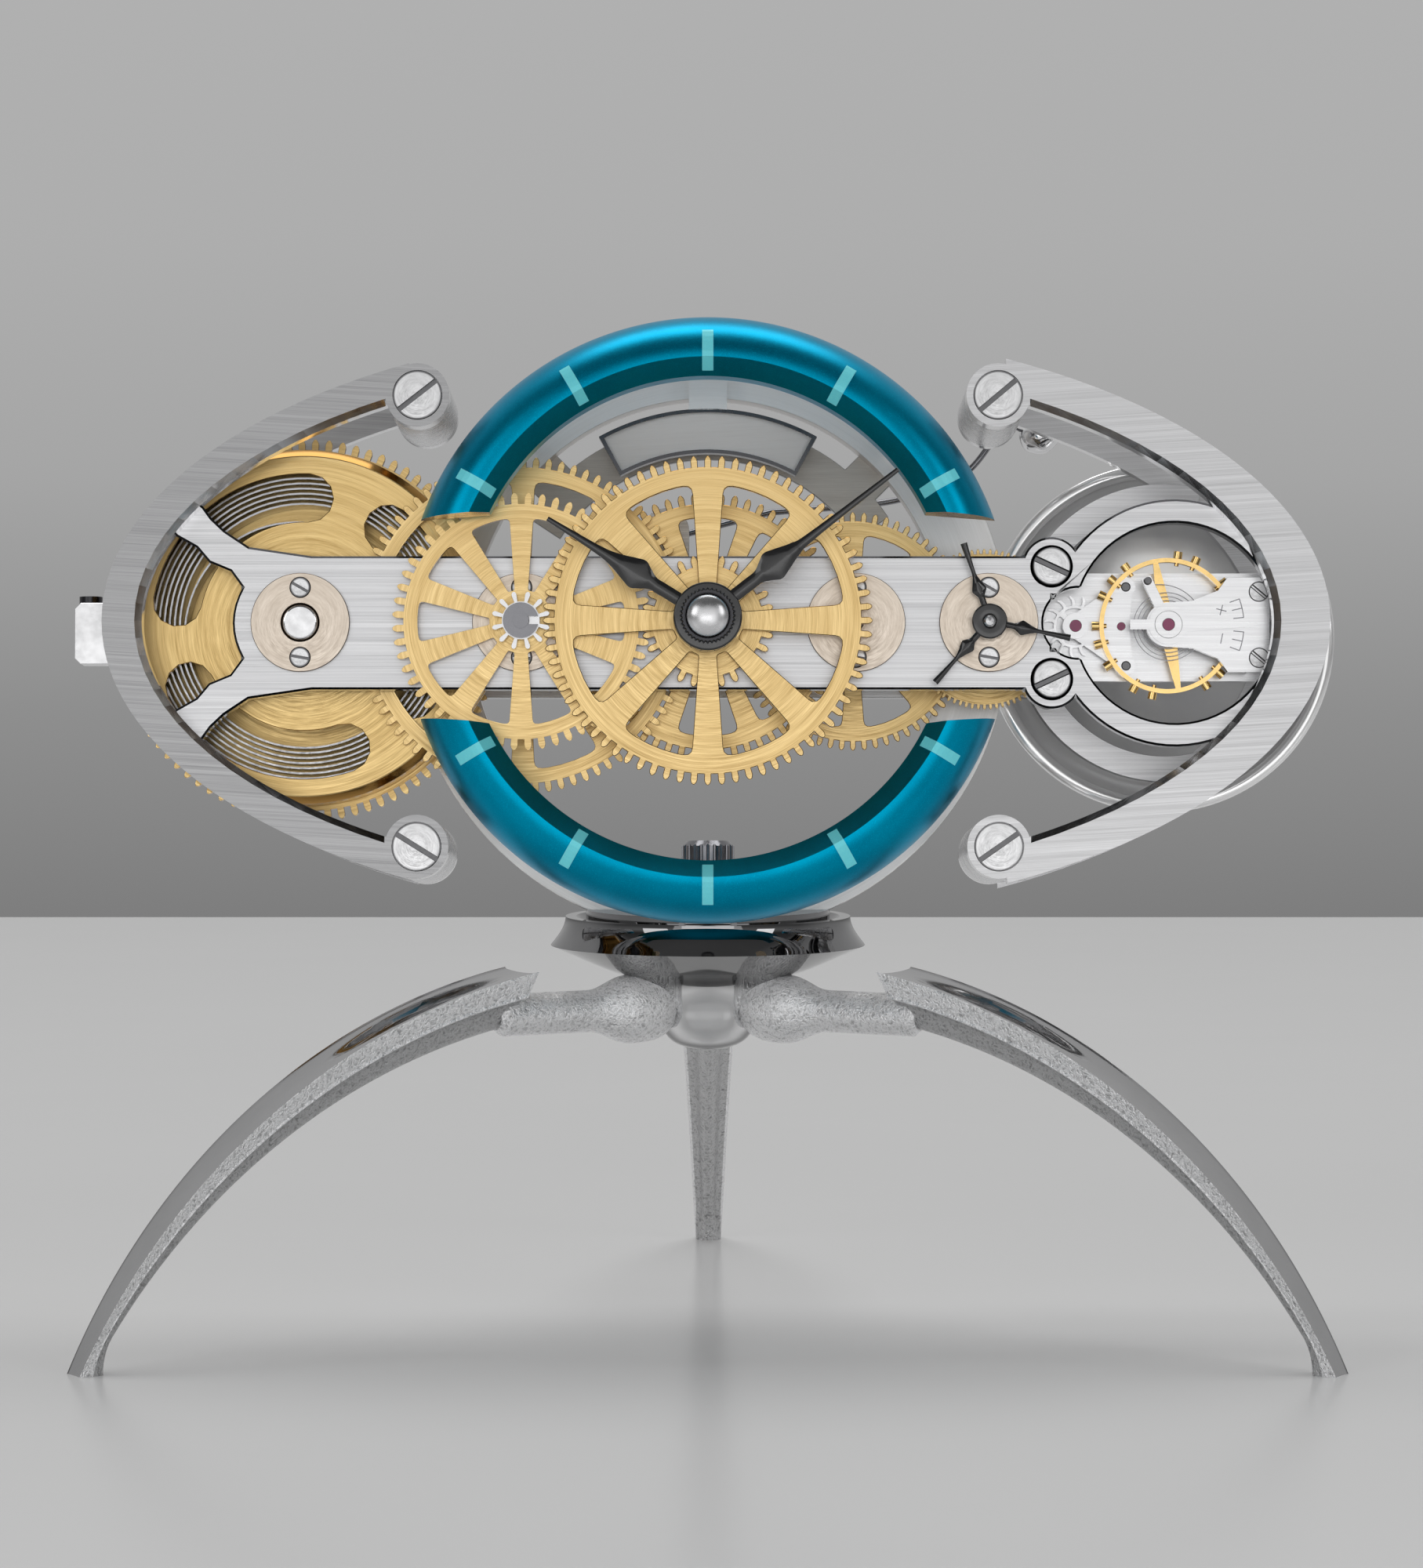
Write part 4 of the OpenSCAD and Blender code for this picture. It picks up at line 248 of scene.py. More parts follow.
def tilted(s, normal, direction, amount):
    """The object's normal pushed along a direction of the movement's frame, as a world normal."""
    leant = s.rotate(direction, -TILT, "X_AXIS")
    pushed = s.vector("NORMALIZE", s.vector("ADD", normal, s.scale(leant, amount)))
    return s.put("ShaderNodeVectorTransform", {0: pushed}, vector_type="NORMAL",
                 convert_from="OBJECT", convert_to="WORLD").outputs[0]


def front_mask(s, normal):
    """1 on faces that look along the movement's depth, 0 on its side walls."""
    facing = s.math("ABSOLUTE", s.vector("DOT_PRODUCT", normal, DEPTH_AXIS, out=1))
    return s.between(facing, 0.75, 0.95)


def scratches(s, given, gives, at, broad_at, normal, across):
    """A grain's outputs: fine and broad noise as a shade, the normal tilted across the grain."""
    fine = s.noise(at, 1.0, 4.0, 0.65)
    front = front_mask(s, normal)
    amount = s.times(s.times(s.minus(fine, 0.5), given["Tilt"]), front)
    mixed = s.plus(s.times(fine, 0.65), s.times(s.noise(*broad_at, 2.0, 0.5), 0.35))
    s.feed(gives, {"Shade": s.between(mixed, 0.3, 0.7), "Front": front,
                   "Normal": tilted(s, normal, across, amount)})


def straight_grain():
    """Long fine scratches in one direction on front faces."""
    s, given, gives = group(
        "straight_grain", {"Angle": 0.0, "Across": 7.0, "Along": 0.12, "Tilt": 0.2},
        {"Shade": "Float", "Front": "Float", "Normal": "Vector"})
    place, normal = movement_place(s)
    level = s.rotate(place, given["Angle"], "Y_AXIS")
    stretched = s.vector("MULTIPLY", level, s.join(given["Along"], 0.5, given["Across"]))
    across = s.rotate((0, 0, 1), s.times(given["Angle"], -1.0), "Y_AXIS")
    scratches(s, given, gives, stretched, (stretched, 0.23), normal, across)
    return s.tree


def turned_grain():
    """Scratches that run round an arbor at (Centre u, Centre w) on front faces."""
    s, given, gives = group(
        "turned_grain",
        {"Centre u": 0.0, "Centre w": 0.0, "Across": 7.0, "Round": 5.0, "Tilt": 0.25},
        {"Shade": "Float", "Front": "Float", "Radius": "Float", "Normal": "Vector"})
    place, normal = movement_place(s)
    u, _, w = s.parts(place)
    flat = s.join(s.minus(u, given["Centre u"]), 0.0, s.minus(w, given["Centre w"]))
    radius = s.vector("LENGTH", flat, out=1)
    outward = s.vector("NORMALIZE", flat)
    rings = s.join(0.0, s.times(radius, given["Across"]), 0.0)
    at = s.vector("ADD", s.scale(outward, given["Round"]), rings)
    scratches(s, given, gives, at, (s.scale(at, 0.21), 1.0), normal, outward)
    s.feed(gives, {"Radius": radius})
    return s.tree


def hand_polish():
    """Faint uneven polish: cloudy patches and a few fine marks."""
    s, given, gives = group("hand_polish", {"Scale": 0.35, "Low": 0.05, "High": 0.12},
                            {"Value": "Float", "Roughness": "Float"})
    place = object_place(s)
    cloud = s.noise(place, given["Scale"], 5.0, 0.6)
    marks = s.noise(s.vector("MULTIPLY", place, (0.4, 3.0, 0.5)), 2.0, 2.0, 0.5)
    spread = s.between(s.plus(s.times(cloud, 0.7), s.times(marks, 0.3)), 0.35, 0.65)
    s.feed(gives, {"Value": spread,
                   "Roughness": s.between(spread, 0.0, 1.0, given["Low"], given["High"])})
    return s.tree


GRAIN = {"straight": straight_grain(), "turned": turned_grain(), "polish": hand_polish()}


def spaced(inputs):
    """Keyword names as socket names, with spaces for underscores."""
    return {key.replace("_", " "): value for key, value in inputs.items()}


def finish(name, metallic=1.0, **sockets):
    """A new material with one Principled shader: it, its Shader and the shader node."""
    material = bpy.data.materials.new(name)
    material.use_nodes = True
    s = Shader(material.node_tree)
    gloss = material.node_tree.nodes["Principled BSDF"]
    s.feed(gloss, {"Metallic": metallic, **spaced(sockets)})
    return material, s, gloss


def place_group(s, kind, **inputs):
    return s.put("ShaderNodeGroup", spaced(inputs), node_tree=GRAIN[kind]).outputs


def grey(level):
    """A grey with a trace of blue, as a colour with its fourth value."""
    return (level, level, level * 1.01, 1)


def brushed(name, low, high, wall, rough, wall_rough, kind="straight", metallic=1.0, **inputs):
    """Metal with grain on its faces, its colour from low to high, and polished walls."""
    material, s, gloss = finish(name, metallic)
    grain = place_group(s, kind, **inputs)
    face = s.blend(grain["Shade"], (*low, 1), (*high, 1))
    worn = s.plus(s.times(grain["Shade"], -0.12), rough)
    s.feed(gloss, {"Base Color": s.blend(grain["Front"], (*wall, 1), face),
                   "Roughness": s.between(grain["Front"], 0, 1, wall_rough, worn),
                   "Normal": grain["Normal"]})
    return material


def polished(name, colour, low, high, metallic=1.0, tone=0.12, scale=0.35, edge=1.0, **sockets):
    """Polished metal or lacquer with a faintly cloudy gloss, with painted shade: darker by edge
    where it turns away from the view.
    """
    material, s, gloss = finish(name, metallic, **sockets)
    cloud = place_group(s, "polish", Scale=scale, Low=low, High=high)
    darker = tuple(q * (1 - tone) for q in colour)
    tint = s.blend(cloud["Value"], (*darker, 1), (*colour, 1))
    # painted shade: the colour darkens where the surface turns away from the view
    if edge < 1:
        turned_away = s.put("ShaderNodeLayerWeight", {"Blend": 0.5}).outputs["Facing"]
        tint = s.scale(tint, s.between(turned_away, 0.3, 0.75, 1.0, edge, True))
    s.feed(gloss, {"Base Color": tint, "Roughness": cloud["Roughness"]})
    return material


def turned_brass(name, centre):
    # the dark brass on the wheels' walls is painted shade
    return brushed(name, (0.56, 0.36, 0.13), (1.0, 0.76, 0.38), (0.36, 0.2, 0.05), 0.42, 0.22,
                   "turned", Centre_u=centre, Across=12.0, Round=3.0, Tilt=0.36)


def nearest_arbor(s, u):
    """The u of the arbor nearest to a place: a sum of steps at the middles between neighbours."""
    arbors = [BARREL, FIRST, CENTRE, THIRD, SECONDS]
    total = arbors[0]
    for left, right in zip(arbors, arbors[1:]):
        passed = s.math("GREATER_THAN", u, (left + right) / 2)
        total = s.plus(total, s.times(passed, right - left))
    return total


def cover_bronze():
    """Tan bronze covers, each turned about its own arbor, with their walls painted dark as shade.
    """
    material, s, gloss = finish("cover_bronze")
    u = s.parts(movement_place(s)[0])[0]
    grain = place_group(s, "turned", Centre_u=nearest_arbor(s, u), Across=6.0, Round=4.0, Tilt=0.22)
    face = s.blend(grain["Shade"], (0.58, 0.49, 0.4, 1), (0.8, 0.71, 0.61, 1))
    s.feed(gloss, {"Base Color": s.blend(grain["Front"], (0.16, 0.12, 0.09, 1), face),
                   "Roughness": s.between(grain["Shade"], 0, 1, 0.42, 0.3),
                   "Normal": grain["Normal"]})
    return material


def screw_steel(name, middle, radius, front):
    """Screw heads turned about their own middles; a dark ring inside the edge, the slot and the
    walls are painted shade.

    The rim lies inside the head's radius, the slot's floor behind its front.
    """
    rim_width, rim_fade, slot_from, slot_to = 0.26, 0.16, 0.12, 1.2
    material, s, gloss = finish(name)
    u, v, w = s.parts(movement_place(s)[0])
    centre_u, centre_w = middle(s, u, w)
    grain = place_group(s, "turned", Centre_u=centre_u, Centre_w=centre_w, Across=6.0, Round=2.5,
                        Tilt=0.24)
    rim_in = radius - rim_width
    rim = s.between(grain["Radius"], rim_in, rim_in + rim_fade)
    slot = s.times(s.math("GREATER_THAN", v, front + slot_from),
                   s.math("LESS_THAN", v, front + slot_to))
    # painted shade: dark on the ring inside the edge, in the slot and on the walls
    dark = s.math("MAXIMUM", s.math("MAXIMUM", rim, slot), s.minus(1.0, grain["Front"]))
    face = s.blend(grain["Shade"], grey(0.5), grey(0.84))
    s.feed(gloss, {"Base Color": s.blend(dark, face, (0.16, 0.16, 0.165, 1)),
                   "Roughness": s.between(grain["Shade"], 0, 1, 0.4, 0.26),
                   "Normal": grain["Normal"]})
    return material


def either_side(s, value, reach):
    """The reach with the sign of a value."""
    return s.times(s.math("SIGN", value), reach)


def at_pillars(s, u, w):
    return either_side(s, u, PILLAR[0]), either_side(s, w, PILLAR[1])


def at_covers(s, u, w):
    return nearest_arbor(s, u), either_side(s, w, COVER_SCREW_W)


def at_platform(s, u, w):
    """The bridge's eye screws, or the cock's screws farther right."""
    far = s.math("GREATER_THAN", u, 55.0)
    centre_u, centre_w = (s.plus(eye, s.times(far, cock - eye))
                          for eye, cock in zip(EYE_SCREW, COCK_SCREW))
    return centre_u, either_side(s, w, centre_w)


def dial_blue():
    """Blue metallic lacquer with fine bright flakes."""
    material, s, gloss = finish("dial_blue")
    place = object_place(s)
    flakes = s.noise(place, 9.0, 2.0, 0.7)
    cloud = s.between(s.noise(place, 0.12, 3.0, 0.5), 0.3, 0.7)
    deep = s.blend(cloud, (0.0, 0.27, 0.45, 1), (0.0, 0.32, 0.52, 1))
    bump = s.put("ShaderNodeBump", {"Height": flakes, "Strength": 0.12, "Distance": 0.00003})
    s.feed(gloss, {"Base Color": s.blend(s.between(flakes, 0.52, 0.75), deep, (0.0, 0.46, 0.7, 1)),
                   "Roughness": s.between(flakes, 0.3, 0.7, 0.3, 0.42), "Normal": bump.outputs[0]})
    return material


def marker_blue():
    """Light blue enamel in the ring's markers."""
    material, s, gloss = finish("marker_blue", 0.15)
    speckle = s.noise(object_place(s), 5.0, 3.0, 0.6)
    s.feed(gloss, {"Base Color": s.blend(speckle, (0.14, 0.84, 1.0, 1), (0.26, 0.95, 1.0, 1)),
                   "Roughness": s.between(speckle, 0.3, 0.7, 0.3, 0.45)})
    return material


def cast_silver(name, low, high):
    """Sand-cast metal: small wandering ridges over broad soft dents, brighter on the crests."""
    material, s, gloss = finish(name, 0.9)
    place = object_place(s)
    warp = s.put("ShaderNodeTexNoise", {"Vector": place, "Scale": 0.7, "Detail": 2.0})
    bent = s.vector("ADD", place, s.scale(warp.outputs["Color"], 1.1))
    ridges = s.math("ABSOLUTE", s.minus(s.noise(bent, 1.5, 3.0, 0.55), 0.5))
    grit = s.noise(place, 4.5, 3.0, 0.6)
    height = s.plus(s.times(ridges, -2.2), s.times(grit, 0.45))
    bump = s.put("ShaderNodeBump", {"Height": height, "Strength": 0.6, "Distance": 0.00035})
    s.feed(gloss, {"Base Color": s.blend(s.between(height, -0.4, 0.2), grey(low), grey(high)),
                   "Roughness": s.between(grit, 0.3, 0.7, 0.26, 0.4), "Normal": bump.outputs[0]})
    return material


# the bridges' near-black walls and chamfers are a painted dark reflection
BRIDGE = brushed("bridge_steel", (0.44, 0.44, 0.45), (0.86, 0.86, 0.87), (0.03, 0.03, 0.032),
                 0.42, 0.14, Across=13.0, Along=0.04, Tilt=0.34)
ARCH = brushed("arch_steel", (0.44, 0.44, 0.445), (0.7, 0.7, 0.71), (0.8, 0.8, 0.81),
               0.4, 0.12, Angle=0.06, Across=17.0, Along=0.05, Tilt=0.12)
# the left arches are the arch steel painted darker: painted shade
SHADED_LEFT_ARCH = brushed("left_arch_painted_shade", (0.27, 0.27, 0.275), (0.46, 0.46, 0.465), (0.8, 0.8, 0.81),
                    0.4, 0.12, Angle=-0.06, Across=17.0, Along=0.05, Tilt=0.12)
PLATFORM = brushed("platform_steel", (0.68, 0.68, 0.69), (0.86, 0.86, 0.87), (0.45, 0.45, 0.46),
                   0.36, 0.15, Across=16.0, Along=0.12, Tilt=0.12)
REAR_RING = brushed("ring_steel", (0.84, 0.83, 0.82), (0.96, 0.95, 0.94), (0.8, 0.78, 0.76),
                    0.4, 0.3, "turned", 0.45, Across=14.0, Round=5.0, Tilt=0.06)
DARK_PLATE = brushed("dark_plate", (0.62, 0.59, 0.55), (0.78, 0.75, 0.7), (0.3, 0.3, 0.3),
                     0.5, 0.35, metallic=0.3, Across=6.0, Along=0.2, Tilt=0.08)
# the dark brass on the barrel's walls is painted shade
BARREL_BRASS = brushed("barrel_brass", (0.5, 0.32, 0.11), (0.96, 0.72, 0.34), (0.4, 0.22, 0.06),
                       0.42, 0.18, "turned", Centre_u=BARREL, Across=9.0, Round=4.0, Tilt=0.36)
# bright ground edges on dark flanks
SPRING = brushed("spring_steel", (0.3, 0.3, 0.31), (0.55, 0.55, 0.57), (0.12, 0.11, 0.11),
                 0.32, 0.2, "turned", Centre_u=BARREL, Across=3.0, Round=30.0, Tilt=0.15)
# the steel plaque is given a near-white diffuse face without metal: a painted sheen in place of its
# brushed reflection
PLAQUE = brushed("plaque_steel", (0.9, 0.89, 0.88), (1.0, 0.99, 0.98), (0.5, 0.5, 0.5),
                 0.5, 0.3, metallic=0.0, Angle=0.06, Across=7.0, Along=0.15)
SATIN = polished("satin_steel", (0.76, 0.76, 0.77), 0.2, 0.34)
BRIGHT = polished("bright_steel", (0.84, 0.84, 0.85), 0.08, 0.16)
# mirror chrome with painted shade, darker where it turns away from the view
CHROME = polished("mirror_chrome", (0.9, 0.9, 0.905), 0.03, 0.07, tone=0.04, scale=0.08, edge=0.22)
# chrome whose colour is painted dark: a painted reflection of dark surroundings, on the dish's
# flank and bowl and on the saddle
PAINTED_DARK_CHROME = polished("chrome_painted_dark_reflection", (0.26, 0.26, 0.265), 0.02, 0.05, tone=0.1, scale=0.08)
BELL = polished("bell_metal", (1.0, 1.0, 1.0), 0.12, 0.2, metallic=0.6, tone=0.03, scale=0.15)
BLACK = polished("black_lacquer", (0.014, 0.014, 0.015), 0.16, 0.26, metallic=0.0, Coat_Weight=0.6,
                 Coat_Roughness=0.08)
BLACK_STEEL = polished("black_steel", (0.06, 0.06, 0.065), 0.2, 0.3)
DARK_STEEL = polished("dark_steel", (0.24, 0.24, 0.255), 0.16, 0.28)
PLAQUE_EDGE = polished("plaque_edge", (0.09, 0.09, 0.095), 0.2, 0.3)
GOLD = polished("balance_gold", (0.95, 0.66, 0.27), 0.14, 0.24)
RUBY = polished("jewel_red", (0.34, 0.02, 0.13), 0.04, 0.1, metallic=0.0, Coat_Weight=1.0,
                Coat_Roughness=0.03)
BARE_EDGE = polished("bare_edge", (0.62, 0.5, 0.36), 0.2, 0.32)
LEG_TOP = polished("leg_polish", (0.46, 0.46, 0.465), 0.1, 0.2, tone=0.1, scale=0.12)
# the second cast is the same metal painted darker: painted shade for the blades' lower flanks
CAST, CAST_UNDER_SHADE = cast_silver("cast_silver", 0.42, 0.98), cast_silver("cast_under_painted_shade", 0.22, 0.6)
BLUE, MARKER, BRONZE = dial_blue(), marker_blue(), cover_bronze()

CAD_FINISH = [
    (SATIN, "minute_pinion frame_pillars rear_posts click first_arbor centre_arbor third_arbor "
            "seconds_arbor escape_pinion balance_staff"),
    (BRIGHT, "dial_posts barrel_arbor escape_wheel pallet_fork side_block"),
    (PLATFORM, "balance_cock regulator escape_bridge platform"),
    (BRIDGE, "front_bridge rear_bridge"), (ARCH, "front_right_arch rear_right_arch"),
    (SHADED_LEFT_ARCH, "front_left_arch rear_left_arch"), (BARREL_BRASS, "barrel_drum barrel_cover"),
    (REAR_RING, "rear_ring"), (DARK_PLATE, "rear_plate"), (PAINTED_DARK_CHROME, "saddle"),
    (DARK_STEEL, "minute_stud clamp_screw"), (BLACK_STEEL, "side_block_screw"),
    (BRONZE, "bearing_covers"), (MARKER, "hour_markers"), (RUBY, "jewels"),
    (GOLD, "balance_screws"),
    (screw_steel("arch_screw_steel", at_pillars, radius=3.27, front=-4.5), "frame_screws"),
    (screw_steel("cover_screw_steel", at_covers, radius=1.33, front=-1.1), "cover_screws"),
    (screw_steel("platform_screw_steel", at_platform, radius=2.55, front=-0.64), "platform_screws"),
]
WHEELS = {"hour_wheel": CENTRE, "cannon_wheel": CENTRE, "minute_wheel": FIRST,
          "first_wheel": FIRST, "centre_wheel": CENTRE, "third_wheel": THIRD,
          "seconds_wheel": SECONDS}
CAD_FINISH += [(turned_brass(wheel + "_brass", middle), wheel) for wheel, middle in WHEELS.items()]
# widths of the flats taken off sharp edges; from WIDE_CHAMFER up they may run into each other
CHAMFER = {
    0.3: "front_bridge",
    0.16: "rear_bridge frame_screws bearing_covers side_block rear_ring",
    0.08: " ".join(WHEELS) + " barrel_drum barrel_cover barrel_arbor click cover_screws platform "
          "platform_screws balance_cock escape_bridge rear_plate minute_pinion frame_pillars",
}
WIDE_CHAMFER = 0.18


def modifier(node, name, kind, **settings):
    made = node.modifiers.new(name, kind)
    for key, value in settings.items():
        setattr(made, key, value)


def chamfer(node, width):
    """Joins the triangles into flat faces and takes a small flat off every sharp edge."""
    modifier(node, "weld", "WELD", merge_threshold=1e-7)
    modifier(node, "flat_faces", "DECIMATE", decimate_type="DISSOLVE",
             angle_limit=math.radians(0.4))
    modifier(node, "chamfer", "BEVEL", width=width * MM, segments=1, limit_method="ANGLE",
             angle_limit=math.radians(35), use_clamp_overlap=width < WIDE_CHAMFER)
    modifier(node, "crisp", "EDGE_SPLIT", split_angle=math.radians(30))


for material, node_names in CAD_FINISH:
    for node_name in node_names.split():
        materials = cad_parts[node_name].data.materials
        materials.clear()
        materials.append(material)
for width, node_names in CHAMFER.items():
    for node_name in node_names.split():
        chamfer(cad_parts[node_name], width)


# dial ring

RING_IN, RING_RIDGE, RING_OUT = 32.5, 34.8, 40.9
RING_FRONT, RING_BACK, RING_CONE = 12.7, 5.0, 3.0
# a gap's slanting edge: its height above the middle and where that height is reached
GAP_IN, GAP_OUT, GAP_IN_AT, GAP_OUT_AT = 14.4, 12.9, 0.8 * RING_IN, 1.1 * RING_OUT


def ring_section():
    """Inner wall and cone as straight lines, the outer flank as a quarter ellipse, flat back."""
    inner = [(RING_IN, -RING_BACK), (RING_IN, -RING_FRONT + RING_CONE)]
    turn = np.linspace(math.pi / 2, 0, 40)
    flank = np.stack([RING_RIDGE + (RING_OUT - RING_RIDGE) * np.cos(turn),
                      -RING_BACK - (RING_FRONT - RING_BACK) * np.sin(turn)], -1)
    cone = np.linspace(inner[1], flank[0], 6)[1:-1]
    back = np.linspace(flank[-1], inner[0], 5)[1:-1]
    wall = np.linspace(inner[0], inner[1], 4)
    return np.concatenate([wall, cone, flank, back])


def gap_angle(radius):
    """Angle where a circle meets a gap's edge: atan(m) + asin(height / (r sqrt(1 + m^2)))."""
    slope = (GAP_OUT - GAP_IN) / (GAP_OUT_AT - GAP_IN_AT)
    height = GAP_IN - slope * GAP_IN_AT
    return np.arctan(slope) + np.arcsin(height / (radius * math.sqrt(1 + slope * slope)))


def dial_ring():
    """Two arcs of one section, each of its points turned from gap to gap by even shares."""
    section = ring_section()
    low = gap_angle(section[:, 0])
    share = np.linspace(0, 1, 121)[:, None]
    sheets = []
    for side in (1, -1):
        angle = side * (low[None] + (math.pi - 2 * low[None]) * share)
        u = section[None, :, 0] * np.cos(angle)
        w = section[None, :, 0] * np.sin(angle)
        v = np.broadcast_to(section[None, :, 1], u.shape)
        sheets.append((in_movement(np.stack([u, v, w], -1)), False, True, 1, 0))
    piece("hour_ring", sheets, "frame", [BLUE, BARE_EDGE], ["dial_ring"], 30)


dial_ring()


# hands

HAND_SHARES = np.array([[0.62, 0.42], [0.78, 0.44], [0.9, 0.75], [1, 1], [1.14, 0.8], [1.34, 0.46],
                        [1.6, 0.27]])
HAND_THICK = 1.0


def blade_grid(length, at, half, tip, front, turn, middle, start):
    """A hand's arm from start to length: its half width follows the outline, widest at half, and
    the front is a low roof that is rounded on top."""
    line = np.concatenate([[[0, HAND_SHARES[0, 1] * half]], HAND_SHARES * [at, half],
                           [[length, tip]]])
    along = curve_through(line, 8)
    along = along[along[:, 0] >= start]
    across = np.linspace(-1, 1, 13)
    rise = HAND_THICK * 0.35
    roof = rise * np.minimum(1, along[:, 1:2] / half * 1.6) * (1 - np.abs(across) ** 1.7)
    top = front + rise - roof
    reach, flat = along[:, :1] + 0 * top, front + HAND_THICK + 0 * top
    over = np.stack([reach, top, along[:, 1:2] * across], -1)
    under = np.stack([reach, flat, along[:, 1:2] * across[::-1]], -1)
    grid = np.concatenate([over, under], 1)
    u, w = turned(grid[..., 0], grid[..., 2], turn)
    return in_movement(np.stack([u + middle, grid[..., 1], w], -1))


def revolve(section, count):
    """A section of (radius r, place) turned round an axis: (r cos a, r sin a, place)."""
    angle = np.linspace(0, 2 * math.pi, count, endpoint=False)[:, None]
    section = np.asarray(section, float)
    x, y = section[None, :, 0] * np.cos(angle), section[None, :, 0] * np.sin(angle)
    return x, y, np.broadcast_to(section[None, :, 1], x.shape)


def lathe(section, middle=(0.0, 0.0), count=72):
    """A closed section of (radius, depth) turned round an arbor; its last point joins its first."""
    u, w, depth = revolve(section, count)
    return in_movement(np.stack([middle[0] + u, depth, middle[1] + w], -1))


def rounded_ring(inner, outer, front, back, edge):
    """Section of a flat ring with its front edges rounded by a quarter circle each."""
    turn = np.linspace(0, math.pi / 2, 6)
    left = np.stack([inner + edge - edge * np.cos(turn), front + edge - edge * np.sin(turn)], -1)
    right = np.stack([outer - edge + edge * np.sin(turn), front + edge - edge * np.cos(turn)], -1)
    return np.concatenate([[[inner, back]], left, right, [[outer, back]]])


def hand(name, node, length, front, bore, turn, body):
    """A spade hand that points at an angle, on a rounded ring with its bore."""
    spade_at, spade_half, tip, ring_out, edge = 11.0, 2.1, 0.3, 4.6, 0.3
    blade = blade_grid(length, spade_at, spade_half, tip, front, turn, CENTRE, bore + 0.4)
    ring = lathe(rounded_ring(bore, ring_out, front, front + HAND_THICK, edge))
    piece(name, [(blade, False, True, 0, 0), (ring, True, True, None, 0)], body, [BLACK], [node],
          35)


hand("minute_spade", "minute_hand", 32.1, -13.0, 1.55, 37.7, "centre")
hand("hour_spade", "hour_hand", 25.2, -11.0, 3.2, 148.3, "hour")


def seconds_hand():
    """Three arms a third of a turn apart on one ring."""
    front, length, half, tip, start = -3.4, 11.1, 1.0, 0.45, 1.4
    bore, ring_out, edge = 0.85, 2.4, 0.25
    blades = [(blade_grid(length, length * 0.4, half, tip, front, turn, SECONDS, start),
               False, True, 0, 0) for turn in (108.3, -11.7, -131.7)]
    ring = lathe(rounded_ring(bore, ring_out, front, front + HAND_THICK, edge), (SECONDS, 0.0))
    piece("seconds_arms", blades + [(ring, True, True, None, 0)], "seconds", [BLACK],
          ["seconds_hand"], 35)


seconds_hand()


def hand_nut():
    """Knurled ring whose radius dips in 40 flutes, with a satin dome sunk in it."""
    front, back, flutes, flute_depth = -14.1, -13.0, 40, 0.28
    angle = np.linspace(0, 2 * math.pi, 480, endpoint=False)[:, None]
    section = np.array([[1.55, back], [1.55, front + 0.5], [3.0, front + 0.5], [3.0, front + 0.1],
                        [3.1, front], [3.45, front], [3.75, front + 0.2], [3.75, back]])
    fluted_share = np.array([0, 0, 0, 0, 0, 0.4, 1, 1])[None]
    flute = fluted_share * flute_depth * (0.5 - 0.5 * np.cos(angle * flutes))
    radius = section[None, :, 0] - flute
    grid = np.stack([radius * np.cos(angle), np.broadcast_to(section[None, :, 1], radius.shape),
                     radius * np.sin(angle)], -1)
    dome_r, dome_rise, dome_foot, dome_back = 2.98, 1.5, front + 0.55, front + 0.7
    turn = np.linspace(math.pi / 2, 0, 24)
    dome = np.stack([dome_r * np.cos(turn), dome_foot - dome_rise * np.sin(turn)], -1)
    dome[0, 0] = 0
    dome = np.concatenate([dome, [[dome_r, dome_back], [0, dome_back]]])
    piece("hand_nut_ring", [(in_movement(grid), True, True, None, 0),
                            (lathe(dome), True, False, None, 1)],
          "centre", [BLACK_STEEL, SATIN], ["hand_nut"], 35)


hand_nut()


# springs

def strip(middle_line, angle, middle, half, front, back):
    """A flat strip wound on a plane: a radius for each angle, with a wall of the half thickness."""
    cross = np.array([(-half, front), (half, front), (half, back), (-half, back)])
    radius = middle_line[:, None] + cross[None, :, 0]
    depth = np.broadcast_to(cross[None, :, 1], radius.shape)
    u = middle + radius * np.cos(angle)[:, None]
    w = radius * np.sin(angle)[:, None]
    return in_movement(np.stack([u, depth, w], -1))


def mainspring():
    """Radius grows evenly from the arbor over 1.5 turns, then by 0.7 mm a turn in packed coils."""
    pitch, packed, lead, half, front, back = 0.7, 16.4, 1.5, 0.125, 8.4, 14.9
    arbor_r, arbor_gap, drum_r, drum_wall, drum_gap = 3.4, 0.3, 24.3, 1.2, 0.1
    first = arbor_r + arbor_gap + half
    last = drum_r - drum_wall - half - drum_gap
    turns = lead + (last - packed) / pitch
    s = np.linspace(0, turns, int(turns * 72))
    radius = np.where(s < lead, first + (packed - first) * s / lead, packed + (s - lead) * pitch)
    grid = strip(radius, 2 * math.pi * s, BARREL, half, front, back)
    piece("wound_mainspring", [(grid, False, True, 0, 0)], "barrel", [SPRING], ["mainspring"],
          30)


